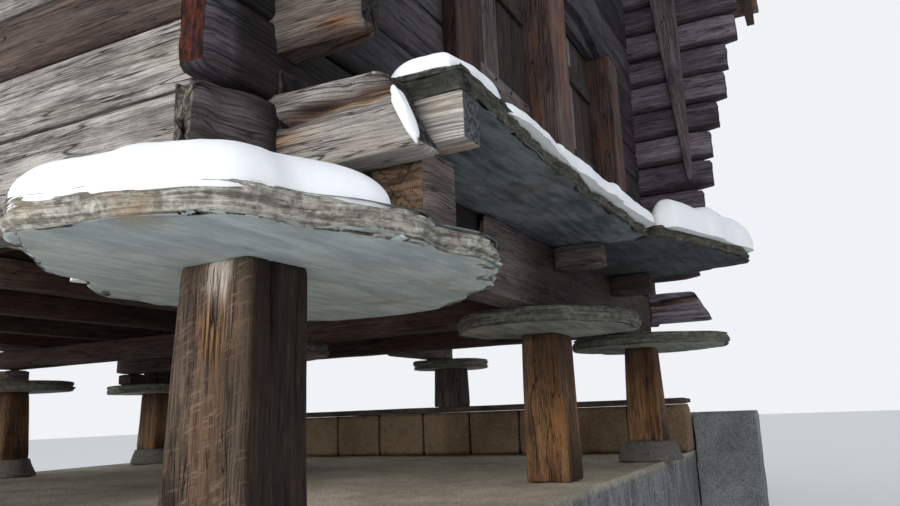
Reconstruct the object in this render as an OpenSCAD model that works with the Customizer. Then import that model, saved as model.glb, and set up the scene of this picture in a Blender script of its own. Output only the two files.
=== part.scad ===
// Raised log granary: a hollow log building on posts with round stone discs,
// standing on a masonry plinth. Front with two doors at -Y, left side at -X.

/* [Plinth] */
// Height of the plinth above level ground
plinth_h = 600; // [300:10:1200]
// Distance from the post centres to the edge of the plinth
plinth_edge = 350; // [280:10:450]
// Height of the block curb under the right side wall
curb_h = 420; // [300:10:600]
// Width of the block curb
curb_w = 250; // [200:10:320]
// Thickness of the timber plate on the curb
curb_plate_t = 60; // [40:5:90]
// Length of one curb block
curb_block_l = 520; // [300:10:700]
// Height of the raised end behind the curb
terrace_h = 340; // [250:10:420]
// Length that the raised end runs on in front of the plinth
terrace_fore = 550; // [300:10:800]
// Width of the raised end behind the curb
terrace_w = 330; // [200:10:345]

/* [Posts] */
// Height of a post, from the plinth to the underside of its disc
post_h = 870; // [700:10:1100]
// Width of a post at its foot
post_w = 270; // [220:5:340]
// Width of a post at its head
post_head_w = 225; // [180:5:280]
// Chamfer hewn on the arrises of a post
post_chamfer = 22; // [8:1:40]
// Distance from the corner post to the middle post of the front
bay_left = 2750; // [2500:10:3200]
// Distance from the middle post to the right post of the front
bay_right = 1700; // [1600:10:1900]
// Distance from the front posts to the middle row
depth_front = 2300; // [2000:10:2600]
// Distance from the middle row to the rear posts
depth_rear = 2950; // [2600:10:3300]
// Distance from the front posts to the short post on the curb
depth_curb = 2055; // [1900:5:2300]
// Step of the right post in front of the others
right_post_fore = 200; // [100:10:250]
// Step down of the discs on the rear posts
rear_drop = 120; // [60:5:160]
// Width of the corner post at its foot
corner_post_w = 290; // [230:2:320]
// Width of the corner post at its head
corner_head_w = 256; // [220:2:300]
// Depth of the corner post at its foot
corner_post_d = 340; // [220:2:360]
// Depth of the corner post at its head
corner_head_d = 270; // [170:2:300]
// Way the foot of the corner post stands behind its head
corner_lean = 42; // [0:2:60]
// Turn of the corner post in degrees
corner_turn = 4; // [0:1:12]
// Width of the middle front post at its head
front_head_w = 345; // [260:5:380]
// Height of the stone foot under the right and rear posts
foot_h = 150; // [80:5:180]
// Radius of the stone foot at its base
foot_r = 265; // [220:5:280]

/* [Stone discs] */
// Size of the large disc on the corner post, as its mean radius
corner_disc_r = 800; // [760:10:840]
// Radius of the discs of the two other front posts
front_disc_r = 600; // [520:10:640]
// Radius of the other discs
disc_r = 520; // [440:10:580]
// Thickness of a disc
disc_t = 85; // [60:5:120]

/* [Log walls] */
// Height of one log course
course = 270; // [240:5:300]
// Thickness of the log walls
log_w = 140; // [110:5:180]
// Bevel on the edges of a log
log_bevel = 20; // [8:1:32]
// Height of the sill log of a side wall
sill_h = 390; // [340:5:440]
// Number of log courses above the sill in a side wall
side_courses = 11; // [10:1:12]
// Height of the blocks between discs and sills
pad_h = 175; // [140:5:220]
// Distance from the corner post centre to the outer face of the left wall
left_face = 50; // [20:5:90]
// Distance from the corner post centre to the outer face of the front wall
front_face = 160; // [120:5:200]
// Distance from the right post centre to the outer face of the right wall
right_face = 840; // [780:5:880]
// Distance from the rear post centres to the outer face of the rear wall
rear_face = 150; // [100:5:200]
// Length of the lowest log heads in front of the front wall
head_low = 290; // [200:10:400]
// Gain in length of each next log head towards the roof
head_gain = 68; // [40:2:80]
// Extra length of the log heads of the right wall
head_right_more = 130; // [0:10:150]
// Length of the log heads at the sides and the rear
head_side = 250; // [200:10:380]
// Length of the sill tongue in front of the front wall
tongue_l = 500; // [450:10:600]
// Slant of the end of the sill tongue
tongue_slant = 120; // [0:10:160]
// Reach of the foot of the head clamps in front of the front wall
clamp_reach = 490; // [400:10:560]
// Thickness of the head clamps
clamp_t = 50; // [35:5:70]
// Height of the sill tongue
tongue_h = 240; // [180:5:270]

/* [Floor] */
// Height of the floor joists
joist_h = 155; // [120:5:180]
// Width of the floor joists
joist_w = 140; // [100:5:180]
// Number of floor joists
joist_n = 6; // [4:1:8]
// Thickness of the floor
floor_t = 45; // [30:5:60]
// Width of the beams that lie on the discs from front to rear
beam_w = 200; // [160:5:240]

/* [Doors] */
// Distance from the corner post centre to the left door post
door_start = 1150; // [1000:10:1250]
// Width of the left door post
jamb_left_w = 270; // [200:5:300]
// Width of the centre door post
jamb_mid_w = 340; // [260:5:380]
// Width of the right door post
jamb_right_w = 270; // [200:5:300]
// Width of each doorway
door_w = 1155; // [1000:5:1180]
// Number of log courses beside the doorway
door_courses = 7; // [6:1:8]
// Depth of a door post in front of the face of the wall
jamb_proud = 65; // [30:5:90]
// Thickness of the planks of a door
plank_t = 38; // [28:2:50]
// Thickness of the ledges on a door
ledge_t = 30; // [20:2:40]
// Height of the ledges on a door
ledge_h = 130; // [90:5:160]
// Gap around a door
door_gap = 9; // [7:1:14]
// Rise of the arch cut in the lintel
arch_rise = 120; // [60:5:160]
// Depth of the arch cut in the lintel
arch_depth = 60; // [40:5:80]
// Radius of a hinge pin
pin_r = 9; // [7:0.5:12]
// Running clearance of a hinge eye on its pin
pin_clear = 0.3; // [0.2:0.1:0.6]

/* [Landing] */
// Thickness of the landing slabs
slab_t = 70; // [50:5:90]
// Rise of the landing slabs above the threshold
slab_rise = 30; // [10:5:50]
// Depth of the left landing slab in front of the wall
slab_d = 560; // [500:10:700]
// Reach of the tip of the right landing slab in front of the wall
slab_tip = 1010; // [800:10:1080]
// Length of the left landing slab
slab_left_l = 2380; // [2000:10:2600]
// Length of the right landing slab
slab_right_l = 1850; // [1500:10:1950]
// Height of the brackets that carry the landing slabs
bracket_h = 150; // [100:5:160]
// Width of the brackets
bracket_w = 115; // [90:5:150]
// Reach of the first bracket in front of the wall
bracket_reach = 565; // [480:5:600]
// Reach of the lip of the landing beam in front of the wall
landing_lip = 50; // [30:5:80]
// Length of the landing beam past the right post
landing_beam_over = 450; // [300:10:600]
// Length of the block that carries the first bracket
prop_l = 210; // [160:5:260]

/* [Roof] */
// Pitch of the roof in degrees
pitch = 24; // [20:1:28]
// Overhang of the roof at the eaves
eaves = 700; // [690:10:800]
// Overhang of the roof at the front
overhang_front = 1190; // [1150:10:1300]
// Overhang of the roof at the rear
overhang_rear = 450; // [400:10:700]
// Depth of a rafter
rafter_h = 120; // [90:5:150]
// Width of a rafter
rafter_w = 100; // [80:5:140]
// Number of rafters between the front and rear walls
rafter_n = 5; // [4:1:7]
// Depth of the seat that a rafter has on the wall
rafter_seat = 40; // [20:5:60]
// Width of the ridge beam and the purlins
purlin_w = 190; // [150:5:240]
// Height of the ridge beam and the purlins
purlin_h = 210; // [160:5:260]
// Thickness of the roof boards
board_t = 28; // [20:1:40]
// Thickness of the stone roof slabs
stone_t = 45; // [30:5:60]
// Number of courses of stone slabs on each side
stone_courses = 9; // [7:1:12]

/* [Hidden] */
// Levels above the top of the plinth
z_disc = post_h;
z_pad = z_disc + disc_t;
z_sill = z_pad + pad_h;
z_side = z_sill + sill_h;
z_front = z_side - course / 2;
z_side_top = z_side + side_courses * course;
z_lintel = z_front + door_courses * course;
z_joist_top = z_sill + joist_h;
z_floor = z_joist_top + floor_t;
z_landing = z_front + slab_rise;
z_bracket_top = z_landing - slab_t;
z_bracket = z_bracket_top - bracket_h;

// Plan: the origin here is the centre of the near corner post
x_mid_post = bay_left;
x_right_post = bay_left + bay_right;
y_mid_post = depth_front;
y_rear_post = depth_front + depth_rear;
y_right_post = -right_post_fore;
x_left = -left_face;
x_right = x_right_post + right_face;
y_front = -front_face;
y_rear = y_rear_post + rear_face;
x_mid = (x_left + x_right) / 2;
x_plinth_0 = -plinth_edge;
y_plinth_0 = -plinth_edge;
y_plinth_1 = y_rear_post + plinth_edge;
x_curb = x_right + curb_w / 4;
x_terrace = x_curb + curb_w;
x_curb_post = x_curb + curb_w / 2;
x_second_beam = x_right_post - 345;
x_landing = x_left + log_w + 10;
x_landing_beam = door_start + jamb_left_w;

// Doors
x_door_1 = door_start + jamb_left_w;
x_jamb_2 = x_door_1 + door_w;
x_door_2 = x_jamb_2 + jamb_mid_w;
x_jamb_3 = x_door_2 + door_w;
x_wall_2 = x_jamb_3 + jamb_right_w;
jamb_in = log_w + 20;
y_jamb_0 = y_front - jamb_proud;
y_jamb_1 = y_front + jamb_in;
leaf_w = door_w - 2 * door_gap;
leaf_h = z_lintel - z_front - 2 * door_gap;
eye_r = 2 * pin_r;
eye_h = 60;
strap_t = 6;
pin_drop = 25;
hinge_places = [0.12 * leaf_h, 0.8 * leaf_h];

// Reach of the corner disc at every 30 degrees, as shares of its mean radius
corner_reach = [1.41, 1.56, 1.0, 0.85, 0.71, 0.82, 1.0, 1.0, 0.86, 0.85, 0.97, 1.08];
// Step of the split edge of a disc
split_step = 24;

// Roof
roof_slope = tan(pitch);
rafter_v = rafter_h / cos(pitch);
board_v = board_t / cos(pitch);
stone_v = stone_t / cos(pitch);
x_eave_0 = x_left - eaves;
x_eave_1 = x_right + eaves;
y_roof_0 = y_front - overhang_front;
y_roof_1 = y_rear + overhang_rear;
roof_base = z_side_top - rafter_seat;

// Place of the whole building: plinth underside at zero, centred under the roof
shift = [-x_mid, -(y_roof_0 + y_roof_1) / 2, plinth_h];

// Height of the underside of the rafters at a place across the building
function rafter_z(x) = roof_base + (x < x_mid ? x - x_left : x_right - x) * roof_slope;

// A box from its low corner and its size
module block(x, y, z, w, d, h) {
    translate([x, y, z]) cube([w, d, h]);
}

// A flat outline in X and Z, drawn through from y_0 to y_1
module along_y(y_0, y_1) {
    translate([0, y_1, 0]) rotate([90, 0, 0]) linear_extrude(y_1 - y_0) children();
}

// A flat outline in Y and Z, drawn through from x_0 to x_1
module along_x(x_0, x_1) {
    translate([x_0, 0, 0]) rotate([90, 0, 90]) linear_extrude(x_1 - x_0) children();
}

// Section of one log, standing on the axis, with bevelled edges
module log_section(h, w = log_w) {
    b = log_bevel;
    polygon([[0, b], [b, 0], [w - b, 0], [w, b], [w, h - b], [w - b, h], [b, h], [0, h - b]]);
}

// Log that runs from front to rear
module log_y(x, z, y_0, y_1, h) {
    along_y(y_0, y_1) translate([x, z]) log_section(h);
}

// Log that runs from left to right
module log_x(y, z, x_0, x_1, h) {
    along_x(x_0, x_1) translate([y, z]) log_section(h);
}

// Small uneven step in the length of the log heads, by course number
function uneven(k) = round(22 * sin(137 * k + 40) + 12 * sin(61 * k));

function front_head(k) = head_low + k * head_gain + uneven(k);
function side_head(k) = head_side + uneven(k + 3) + 8 * k;

// Part of each crossing that the logs of the front and rear walls fill
module front_shares(x) {
    for (y = [y_front, y_rear - log_w]) {
        block(x, y, z_sill, log_w, log_w, z_front - course / 2 - z_sill);
        for (j = [0 : side_courses])
            block(x, y, z_front + (j + 0.25) * course, log_w, log_w, course / 2);
    }
}

// Part of each crossing that the logs of the side walls fill
module side_shares(y) {
    for (x = [x_left, x_right - log_w]) {
        block(x, y, z_front - course / 2, log_w, log_w, z_side - course / 4 - z_front + course / 2);
        for (k = [0 : side_courses - 1])
            block(x, y, z_side + (k + 0.25) * course, log_w, log_w, course / 2);
    }
}

// End of a sill log, which runs on in front of the wall with a slanted end
module tongue(x) {
    y_tip = y_front - tongue_l;
    intersection() {
        log_y(x, z_sill, y_tip, y_front + log_w, tongue_h);
        along_x(x - 1, x + log_w + 1) polygon([
            [y_tip, z_sill - 1], [y_front + log_w + 1, z_sill - 1],
            [y_front + log_w + 1, z_sill + tongue_h + 1], [y_tip + tongue_slant, z_sill + tongue_h + 1]
        ]);
    }
}

// One side wall with its heads in front and behind
module side_wall(x, more = 0) {
    difference() {
        union() {
            log_y(x, z_sill, y_front, y_rear + side_head(0), sill_h);
            tongue(x);
            for (k = [0 : side_courses - 1])
                log_y(x, z_side + k * course, y_front - front_head(k) - more, y_rear + side_head(k), course);
        }
        front_shares(x);
    }
}

// Courses of a front or rear wall from number a to b, between two places
module cross_courses(y, a, b, x_0, x_1, head_0 = 0, head_1 = 0) {
    difference() {
        for (j = [a : b])
            log_x(
                y, z_front + j * course,
                x_0 - head_0 * side_head(j), x_1 + head_1 * side_head(j + 2), course
            );
        side_shares(y);
    }
}

// Lowest log of the front or rear wall
module bottom_log(y) {
    difference() {
        log_x(y, z_sill, x_left - side_head(7), x_right + side_head(6), z_front - z_sill);
        side_shares(y);
    }
}

// Triangle of logs under the roof
module gable(y) {
    hair = 0.3;
    under_boards = rafter_v - hair;
    rows = ceil((rafter_z(x_mid) + rafter_v - z_front) / course);
    difference() {
        intersection() {
            for (j = [side_courses : rows])
                log_x(y, z_front + j * course, x_left, x_right, course);
            along_y(y - 1, y + log_w + 1) polygon([
                [x_left, z_front],
                [x_right, z_front],
                [x_right, rafter_z(x_right) + under_boards],
                [x_mid, rafter_z(x_mid) + under_boards],
                [x_left, rafter_z(x_left) + under_boards]
            ]);
        }
        side_shares(y);
        purlin_bodies();
    }
}

// Rectangle with chamfered corners, as a thin section of a hewn post
module post_section(w, d, c, z, dx = 0, dy = 0) {
    translate([dx, dy, z]) linear_extrude(0.5) polygon([
        [-w / 2 + c, -d / 2], [w / 2 - c, -d / 2], [w / 2, -d / 2 + c], [w / 2, d / 2 - c],
        [w / 2 - c, d / 2], [-w / 2 + c, d / 2], [-w / 2, d / 2 - c], [-w / 2, -d / 2 + c]
    ]);
}

// Hewn post that tapers upward
module post(h, head_w = post_head_w) {
    hull() {
        post_section(post_w, post_w * 1.06, post_chamfer, 0);
        post_section(head_w, post_head_w * 1.04, post_chamfer * 0.7, h - 0.5);
    }
}

// Reach of the corner disc at any angle, between the places where it is known
function corner_share(a) =
    let (i = floor(a / 30), t = a / 30 - i, w = (1 - cos(180 * t)) / 2)
    corner_reach[i % 12] * (1 - w) + corner_reach[(i + 1) % 12] * w + 0.015 * sin(9 * a) + 0.01 * sin(17 * a);

// One layer of the corner disc, drawn in from its edge by a step
module corner_layer(h, step) {
    linear_extrude(h) polygon([
        for (a = [0 : 7.5 : 352.5])
            let (r = corner_disc_r * corner_share(a) - step) [r * cos(a), r * sin(a)]
    ]);
}

// Radius of a rough disc by angle, for one pattern number
function disc_edge(a, s) =
    1 + 0.035 * sin(2 * a + 70 * s) + 0.028 * sin(3 * a + 131 * s) + 0.018 * sin(7 * a + 37 * s);

// One layer of a split stone disc
module disc_layer(r, s, h, stretch = 1) {
    linear_extrude(h)
        polygon([for (a = [0 : 10 : 350]) [r * disc_edge(a, s) * cos(a) * stretch, r * disc_edge(a, s) * sin(a)]]);
}

// Rough stone disc with a split edge: its middle layer reaches farthest
module disc(r, s, stretch = 1) {
    disc_layer(r - split_step, s, disc_t, stretch);
    translate([0, 0, disc_t * 0.25]) disc_layer(r, s, disc_t * 0.4, stretch);
}

module plinth() {
    color("darkgray")
        block(
            x_plinth_0, y_plinth_0, -plinth_h,
            x_terrace + terrace_w - x_plinth_0, y_plinth_1 - y_plinth_0, plinth_h
        );
}

module terrace_end() {
    color("gray") {
        block(x_terrace, y_plinth_0, 0, terrace_w, y_plinth_1 - y_plinth_0, terrace_h);
        block(x_terrace, y_plinth_0 - terrace_fore, -plinth_h, terrace_w, terrace_fore, plinth_h + terrace_h);
    }
}

module curb_blocks() {
    joint = 8;
    length = y_plinth_1 - y_plinth_0;
    count = round(length / curb_block_l);
    step = length / count;
    color("tan") difference() {
        block(x_curb, y_plinth_0, 0, curb_w, length, curb_h);
        for (i = [1 : count - 1])
            block(x_curb - 1, y_plinth_0 + i * step - joint / 2, curb_h / 8, joint + 1, joint, curb_h);
    }
}

module curb_plate() {
    color("saddlebrown")
        block(x_curb, y_plinth_0, curb_h, curb_w, y_plinth_1 - y_plinth_0, curb_plate_t);
}

module corner_post() {
    color("peru") translate([-34, -54, 0]) rotate([0, 0, -corner_turn]) hull() {
        post_section(corner_post_w, corner_post_d, post_chamfer, 0, 0, corner_lean);
        post_section(corner_head_w, corner_head_d, post_chamfer * 0.7, post_h - 0.5);
    }
}

module front_posts() {
    color("peru") {
        translate([x_mid_post, 0, 0]) post(post_h, front_head_w);
        translate([x_right_post, y_right_post, foot_h]) post(post_h - foot_h, post_w);
    }
}

module middle_posts() {
    plate_top = curb_h + curb_plate_t;
    color("peru") {
        for (x = [0, x_mid_post])
            translate([x, y_mid_post, 0]) post(post_h);
        translate([x_curb_post, depth_curb, plate_top]) post_short(post_h - plate_top);
    }
}

// Short post that stands on the curb plate
module post_short(h) {
    hull() {
        post_section(curb_w * 0.94, post_w * 1.2, post_chamfer, 0);
        post_section(curb_w * 0.88, post_w * 1.15, post_chamfer * 0.7, h - 0.5);
    }
}

module rear_posts() {
    color("peru")
        for (x = [0, x_mid_post, x_right_post])
            translate([x, y_rear_post, foot_h]) post(post_h - rear_drop - foot_h);
}

module stone_feet() {
    color("dimgray") {
        for (x = [0, x_mid_post, x_right_post])
            translate([x, y_rear_post, 0]) cylinder(foot_h, foot_r, foot_r * 0.76, $fn = 28);
        translate([x_right_post, y_right_post, 0]) cylinder(foot_h, foot_r, foot_r * 0.76, $fn = 28);
    }
}

module corner_disc() {
    color("lightslategray") translate([100, 20, z_disc]) {
        corner_layer(disc_t, split_step);
        translate([0, 0, disc_t * 0.25]) corner_layer(disc_t * 0.4, 0);
    }
}

module front_discs() {
    color("lightslategray") {
        translate([x_mid_post - 240, -90, z_disc]) disc(front_disc_r * 0.9, 2);
        translate([x_right_post + 90, y_right_post - 50, z_disc]) disc(front_disc_r, 3, 1.08);
    }
}

module middle_discs() {
    color("lightslategray") {
        for (x = [0, x_mid_post])
            translate([x, y_mid_post, z_disc]) disc(disc_r, 4 + x / x_mid_post);
        translate([x_curb_post, depth_curb, z_disc]) disc(disc_r * 0.8, 6);
    }
}

module rear_discs() {
    color("lightslategray")
        for (i = [0 : 2])
            translate([[0, x_mid_post, x_right_post][i], y_rear_post, z_disc - rear_drop]) disc(disc_r, 7 + i);
}

module sill_pads() {
    pad_d = 220;
    reach = 110;
    y_0 = y_front + log_w + reach;
    color("sienna") {
        for (y = [y_0, y_mid_post])
            block(x_left - reach / 2, y - pad_d / 2, z_pad, log_w + 2 * reach, pad_d, pad_h);
        block(
            x_left - reach / 2, y_rear_post - pad_d / 2, z_pad - rear_drop,
            log_w + 2 * reach, pad_d, pad_h + rear_drop
        );
        for (y = [y_0, depth_curb])
            block(x_right_post - reach, y - pad_d / 2, z_pad, x_right - x_right_post + 1.5 * reach, pad_d, pad_h);
        block(
            x_right_post - reach, y_rear_post - pad_d / 2, z_pad - rear_drop,
            x_right - x_right_post + 1.5 * reach, pad_d, pad_h + rear_drop
        );
        for (x = [x_mid_post, x_second_beam])
            block(x - beam_w / 2, y_rear_post - pad_d / 2, z_pad - rear_drop, beam_w, pad_d, rear_drop);
    }
}

module floor_beams() {
    y_0 = y_front + log_w;
    color("sienna")
        for (x = [x_mid_post, x_second_beam])
            block(x - beam_w / 2, y_0, z_pad, beam_w, y_rear - y_0, pad_h);
}

module floor_joists() {
    inside = y_rear - y_front - 2 * log_w;
    color("sienna")
        for (i = [0 : joist_n - 1])
            block(
                x_left + log_w, y_front + log_w + (i + 0.5) * inside / joist_n - joist_w / 2, z_sill,
                x_right - x_left - 2 * log_w, joist_w, joist_h
            );
}

module floor_boards() {
    color("burlywood")
        block(
            x_left + log_w, y_front + log_w, z_joist_top,
            x_right - x_left - 2 * log_w, y_rear - y_front - 2 * log_w, floor_t
        );
}

module left_wall() {
    color("dimgray") side_wall(x_left);
}

module right_wall() {
    color("dimgray") side_wall(x_right - log_w, head_right_more);
}

module rear_wall() {
    color("dimgray") {
        bottom_log(y_rear - log_w);
        cross_courses(y_rear - log_w, 0, side_courses - 1, x_left, x_right, 1, 1);
        gable(y_rear - log_w);
    }
}

module threshold_log() {
    color("saddlebrown") bottom_log(y_front);
}

module front_wall_left() {
    color("saddlebrown") cross_courses(y_front, 0, door_courses - 1, x_left, door_start, 1, 0);
}

module front_wall_right() {
    color("saddlebrown") cross_courses(y_front, 0, door_courses - 1, x_wall_2, x_right, 0, 1);
}

// Flat arch over one doorway, as a segment of a circle
module arch(x) {
    r = (door_w * door_w / 4 + arch_rise * arch_rise) / (2 * arch_rise);
    translate([x + door_w / 2, y_front - 1, z_lintel + arch_rise - r])
        rotate([-90, 0, 0]) cylinder(arch_depth + 1, r, r, $fn = 180);
}

module lintel_log() {
    color("saddlebrown") difference() {
        cross_courses(y_front, door_courses, door_courses, x_left, x_right, 1, 1);
        arch(x_door_1);
        arch(x_door_2);
    }
}

module front_wall_over() {
    color("saddlebrown") cross_courses(y_front, door_courses + 1, side_courses - 1, x_left, x_right, 1, 1);
}

module front_gable() {
    color("saddlebrown") gable(y_front);
}

// Door post whose proud part stands on the landing slab
module jamb(x, w) {
    along_x(x, x + w) polygon([
        [y_front, z_front], [y_jamb_1, z_front], [y_jamb_1, z_lintel], [y_jamb_0, z_lintel],
        [y_jamb_0, z_landing], [y_front, z_landing]
    ]);
}

module door_posts() {
    color("brown") {
        jamb(door_start, jamb_left_w);
        jamb(x_jamb_2, jamb_mid_w);
        jamb(x_jamb_3, jamb_right_w);
    }
}

// Tapered planks that clamp the long log heads, on the side of the landing
module head_clamps() {
    top_w = 240;
    foot_w = 50;
    z_0 = z_side + 3.3 * course;
    z_1 = z_side_top - course / 2;
    y_1 = y_front - clamp_reach;
    color("gray")
        for (x = [x_left + log_w, x_right - log_w - clamp_t])
            along_x(x, x + clamp_t)
                polygon([[y_1, z_0], [y_1 + foot_w, z_0], [y_1 + top_w, z_1], [y_1, z_1]]);
}

// Boarded door leaf with its ledges in front, hinge edge at x = 0
module leaf() {
    seam = 4;
    planks = 5;
    step = leaf_w / planks;
    ledge_end = 55;
    difference() {
        block(0, -plank_t, 0, leaf_w, plank_t, leaf_h);
        for (i = [1 : planks - 1])
            block(i * step - seam / 2, -plank_t - 1, -1, seam, seam + 1, leaf_h + 2);
    }
    for (f = [0.08, 0.42, 0.78])
        block(ledge_end, -plank_t - ledge_t, f * leaf_h, leaf_w - 2 * ledge_end, ledge_t, ledge_h);
}

// Two strap hinges on the inner face of a leaf, each with its eye on the pin
module straps() {
    length = leaf_w * 0.62;
    width = 50;
    for (z = hinge_places)
        translate([0, 0, z]) difference() {
            union() {
                block(0, 0, (eye_h - width) / 2, length, strap_t, width);
                translate([0, eye_r + strap_t, 0]) cylinder(eye_h, eye_r, eye_r, $fn = 40);
                block(0, 0, (eye_h - width) / 2, eye_r * 0.8, eye_r, width);
            }
            translate([0, eye_r + strap_t, -1]) cylinder(eye_h + 2, pin_r + pin_clear, pin_r + pin_clear, $fn = 40);
        }
}

// Two pins, each on an arm that is fixed to the inner face of the door post
module pintles() {
    arm_l = 110;
    shoulder = 0.3;
    for (z = hinge_places)
        translate([0, 0, z - shoulder]) {
            translate([0, eye_r + strap_t, -pin_drop]) cylinder(pin_drop + eye_h + 12, pin_r, pin_r, $fn = 40);
            translate([0, eye_r + strap_t, -pin_drop]) cylinder(pin_drop, eye_r - 2, eye_r - 2, $fn = 40);
            block(-arm_l, eye_r, -pin_drop, arm_l, strap_t * 2, pin_drop);
            block(-arm_l, 0, -pin_drop, arm_l - door_gap * 2, eye_r + strap_t * 2, pin_drop);
        }
}

// Places a piece at the hinge of the left door, or mirrored at the right door
module at_left_door() {
    translate([x_door_1 + door_gap, y_jamb_1, z_front + door_gap]) children();
}

module at_right_door() {
    translate([x_jamb_3 - door_gap, y_jamb_1, z_front + door_gap]) mirror([1, 0, 0]) children();
}

module door_left() {
    color("chocolate") at_left_door() leaf();
}

module door_left_straps() {
    color("black") at_left_door() straps();
}

module door_right() {
    color("chocolate") at_right_door() leaf();
}

module door_right_straps() {
    color("black") at_right_door() straps();
}

module door_pintles() {
    color("black") {
        at_left_door() pintles();
        at_right_door() pintles();
    }
}

// Beam under the front wall, whose lip in front of the wall carries the slabs
module landing_beam() {
    color("sienna") along_x(x_landing_beam, x_right_post + landing_beam_over) polygon([
        [y_front - landing_lip, z_pad], [y_front + log_w, z_pad], [y_front + log_w, z_sill],
        [y_front, z_sill], [y_front, z_bracket_top], [y_front - landing_lip, z_bracket_top]
    ]);
}

// Brackets under the slabs, and the block on the corner disc that carries the first
module landing_brackets() {
    x_joint = x_landing + slab_left_l - bracket_w;
    x_end = x_landing + slab_left_l + 0.6 * slab_right_l;
    y_lip = y_front - landing_lip;
    color("peru") {
        block(x_landing, y_front - bracket_reach, z_bracket, bracket_w, bracket_reach, bracket_h);
        block(x_landing, y_front - bracket_reach + 120, z_pad, prop_l, prop_l, z_bracket - z_pad);
        for (x = [x_joint, x_end])
            block(x, y_lip - slab_d / 2, z_bracket, bracket_w, slab_d / 2, bracket_h);
    }
}

module landing_slab_left() {
    x_0 = x_landing;
    x_1 = x_0 + slab_left_l;
    y_0 = y_front - slab_d;
    color("darkslategray") translate([0, 0, z_bracket_top]) linear_extrude(slab_t) polygon([
        [x_0, y_front], [x_0, y_0 - 5], [x_0 + 0.05 * slab_left_l, y_0 - 20], [x_0 + 0.2 * slab_left_l, y_0],
        [x_0 + 0.6 * slab_left_l, y_0 + 10], [x_1 - 60, y_0 - 30], [x_1, y_0 + 60], [x_1, y_front]
    ]);
}

module landing_slab_right() {
    x_0 = x_landing + slab_left_l;
    l = slab_right_l;
    y_0 = y_front - slab_d;
    y_tip = y_front - slab_tip;
    color("darkslategray") translate([0, 0, z_bracket_top]) linear_extrude(slab_t) polygon([
        [x_0, y_front], [x_0, y_0 - 100], [x_0 + 0.12 * l, y_0 - 180], [x_0 + 0.5 * l, y_tip + 20],
        [x_0 + 0.66 * l, y_tip], [x_0 + 0.74 * l, y_0 - 60], [x_0 + 0.75 * l, y_front - 180],
        [x_0 + 0.82 * l, y_front]
    ]);
}

// Ridge beam and the purlins half way up each slope, through both gables
module purlin_bodies() {
    for (x = [(x_left + x_mid) / 2, x_mid, (x_right + x_mid) / 2])
        block(
            x - purlin_w / 2, y_roof_0, rafter_z(x) - purlin_h,
            purlin_w, y_roof_1 - y_roof_0, purlin_h
        );
}

module purlins() {
    color("sienna") purlin_bodies();
}

// Mirrors a piece of the left side of the roof to the right side
module to_right() {
    translate([2 * x_mid, 0, 0]) mirror([1, 0, 0]) children();
}

// A sloped layer on the left side, from height a to b above the rafter underside
module roof_layer(a, b, y_0, y_1) {
    along_y(y_0, y_1) polygon([
        [x_eave_0, rafter_z(x_eave_0) + a], [x_mid, rafter_z(x_mid) + a],
        [x_mid, rafter_z(x_mid) + b], [x_eave_0, rafter_z(x_eave_0) + b]
    ]);
}

module rafter_row() {
    inside = y_rear - y_front - 2 * log_w;
    places = concat(
        [y_roof_0 + rafter_w, (y_roof_0 + y_front) / 2],
        [for (i = [1 : rafter_n]) y_front + log_w + i * inside / (rafter_n + 1)],
        [y_roof_1 - rafter_w]
    );
    difference() {
        for (y = places)
            roof_layer(0, rafter_v, y - rafter_w / 2, y + rafter_w / 2);
        block(x_left, y_roof_0 - 1, z_side, log_w, y_roof_1 - y_roof_0 + 2, z_side_top - z_side);
        purlin_bodies();
    }
}

module rafters_left() {
    color("peru") rafter_row();
}

module rafters_right() {
    color("peru") to_right() rafter_row();
}

module roof_boards_left() {
    color("burlywood") roof_layer(rafter_v, rafter_v + board_v, y_roof_0, y_roof_1);
}

module roof_boards_right() {
    color("burlywood") to_right() roof_layer(rafter_v, rafter_v + board_v, y_roof_0, y_roof_1);
}

// Lapped courses of stone slabs on the left side of the roof
module stone_slope() {
    run = (x_mid - x_eave_0) / stone_courses;
    base = rafter_v + board_v;
    along_y(y_roof_0, y_roof_1) polygon(concat(
        [[x_mid, rafter_z(x_mid) + base], [x_eave_0, rafter_z(x_eave_0) + base]],
        [for (i = [0 : stone_courses - 1], e = [0, 1])
            [x_eave_0 + (i + e) * run, rafter_z(x_eave_0 + (i + e) * run) + base + stone_v * (e == 0 ? 2 : 1)]]
    ));
}

module roof_stones_left() {
    color("slategray") stone_slope();
}

module roof_stones_right() {
    color("slategray") to_right() stone_slope();
}

module ridge_stones() {
    half = 280;
    z_0 = rafter_z(x_mid) + rafter_v + board_v + stone_v;
    color("slategray") along_y(y_roof_0, y_roof_1) polygon([
        [x_mid - half, z_0 - half * roof_slope + stone_v], [x_mid, z_0], [x_mid + half, z_0 - half * roof_slope + stone_v],
        [x_mid + half, z_0 - half * roof_slope + 2 * stone_v], [x_mid, z_0 + stone_v * 1.5],
        [x_mid - half, z_0 - half * roof_slope + 2 * stone_v]
    ]);
}

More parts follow.
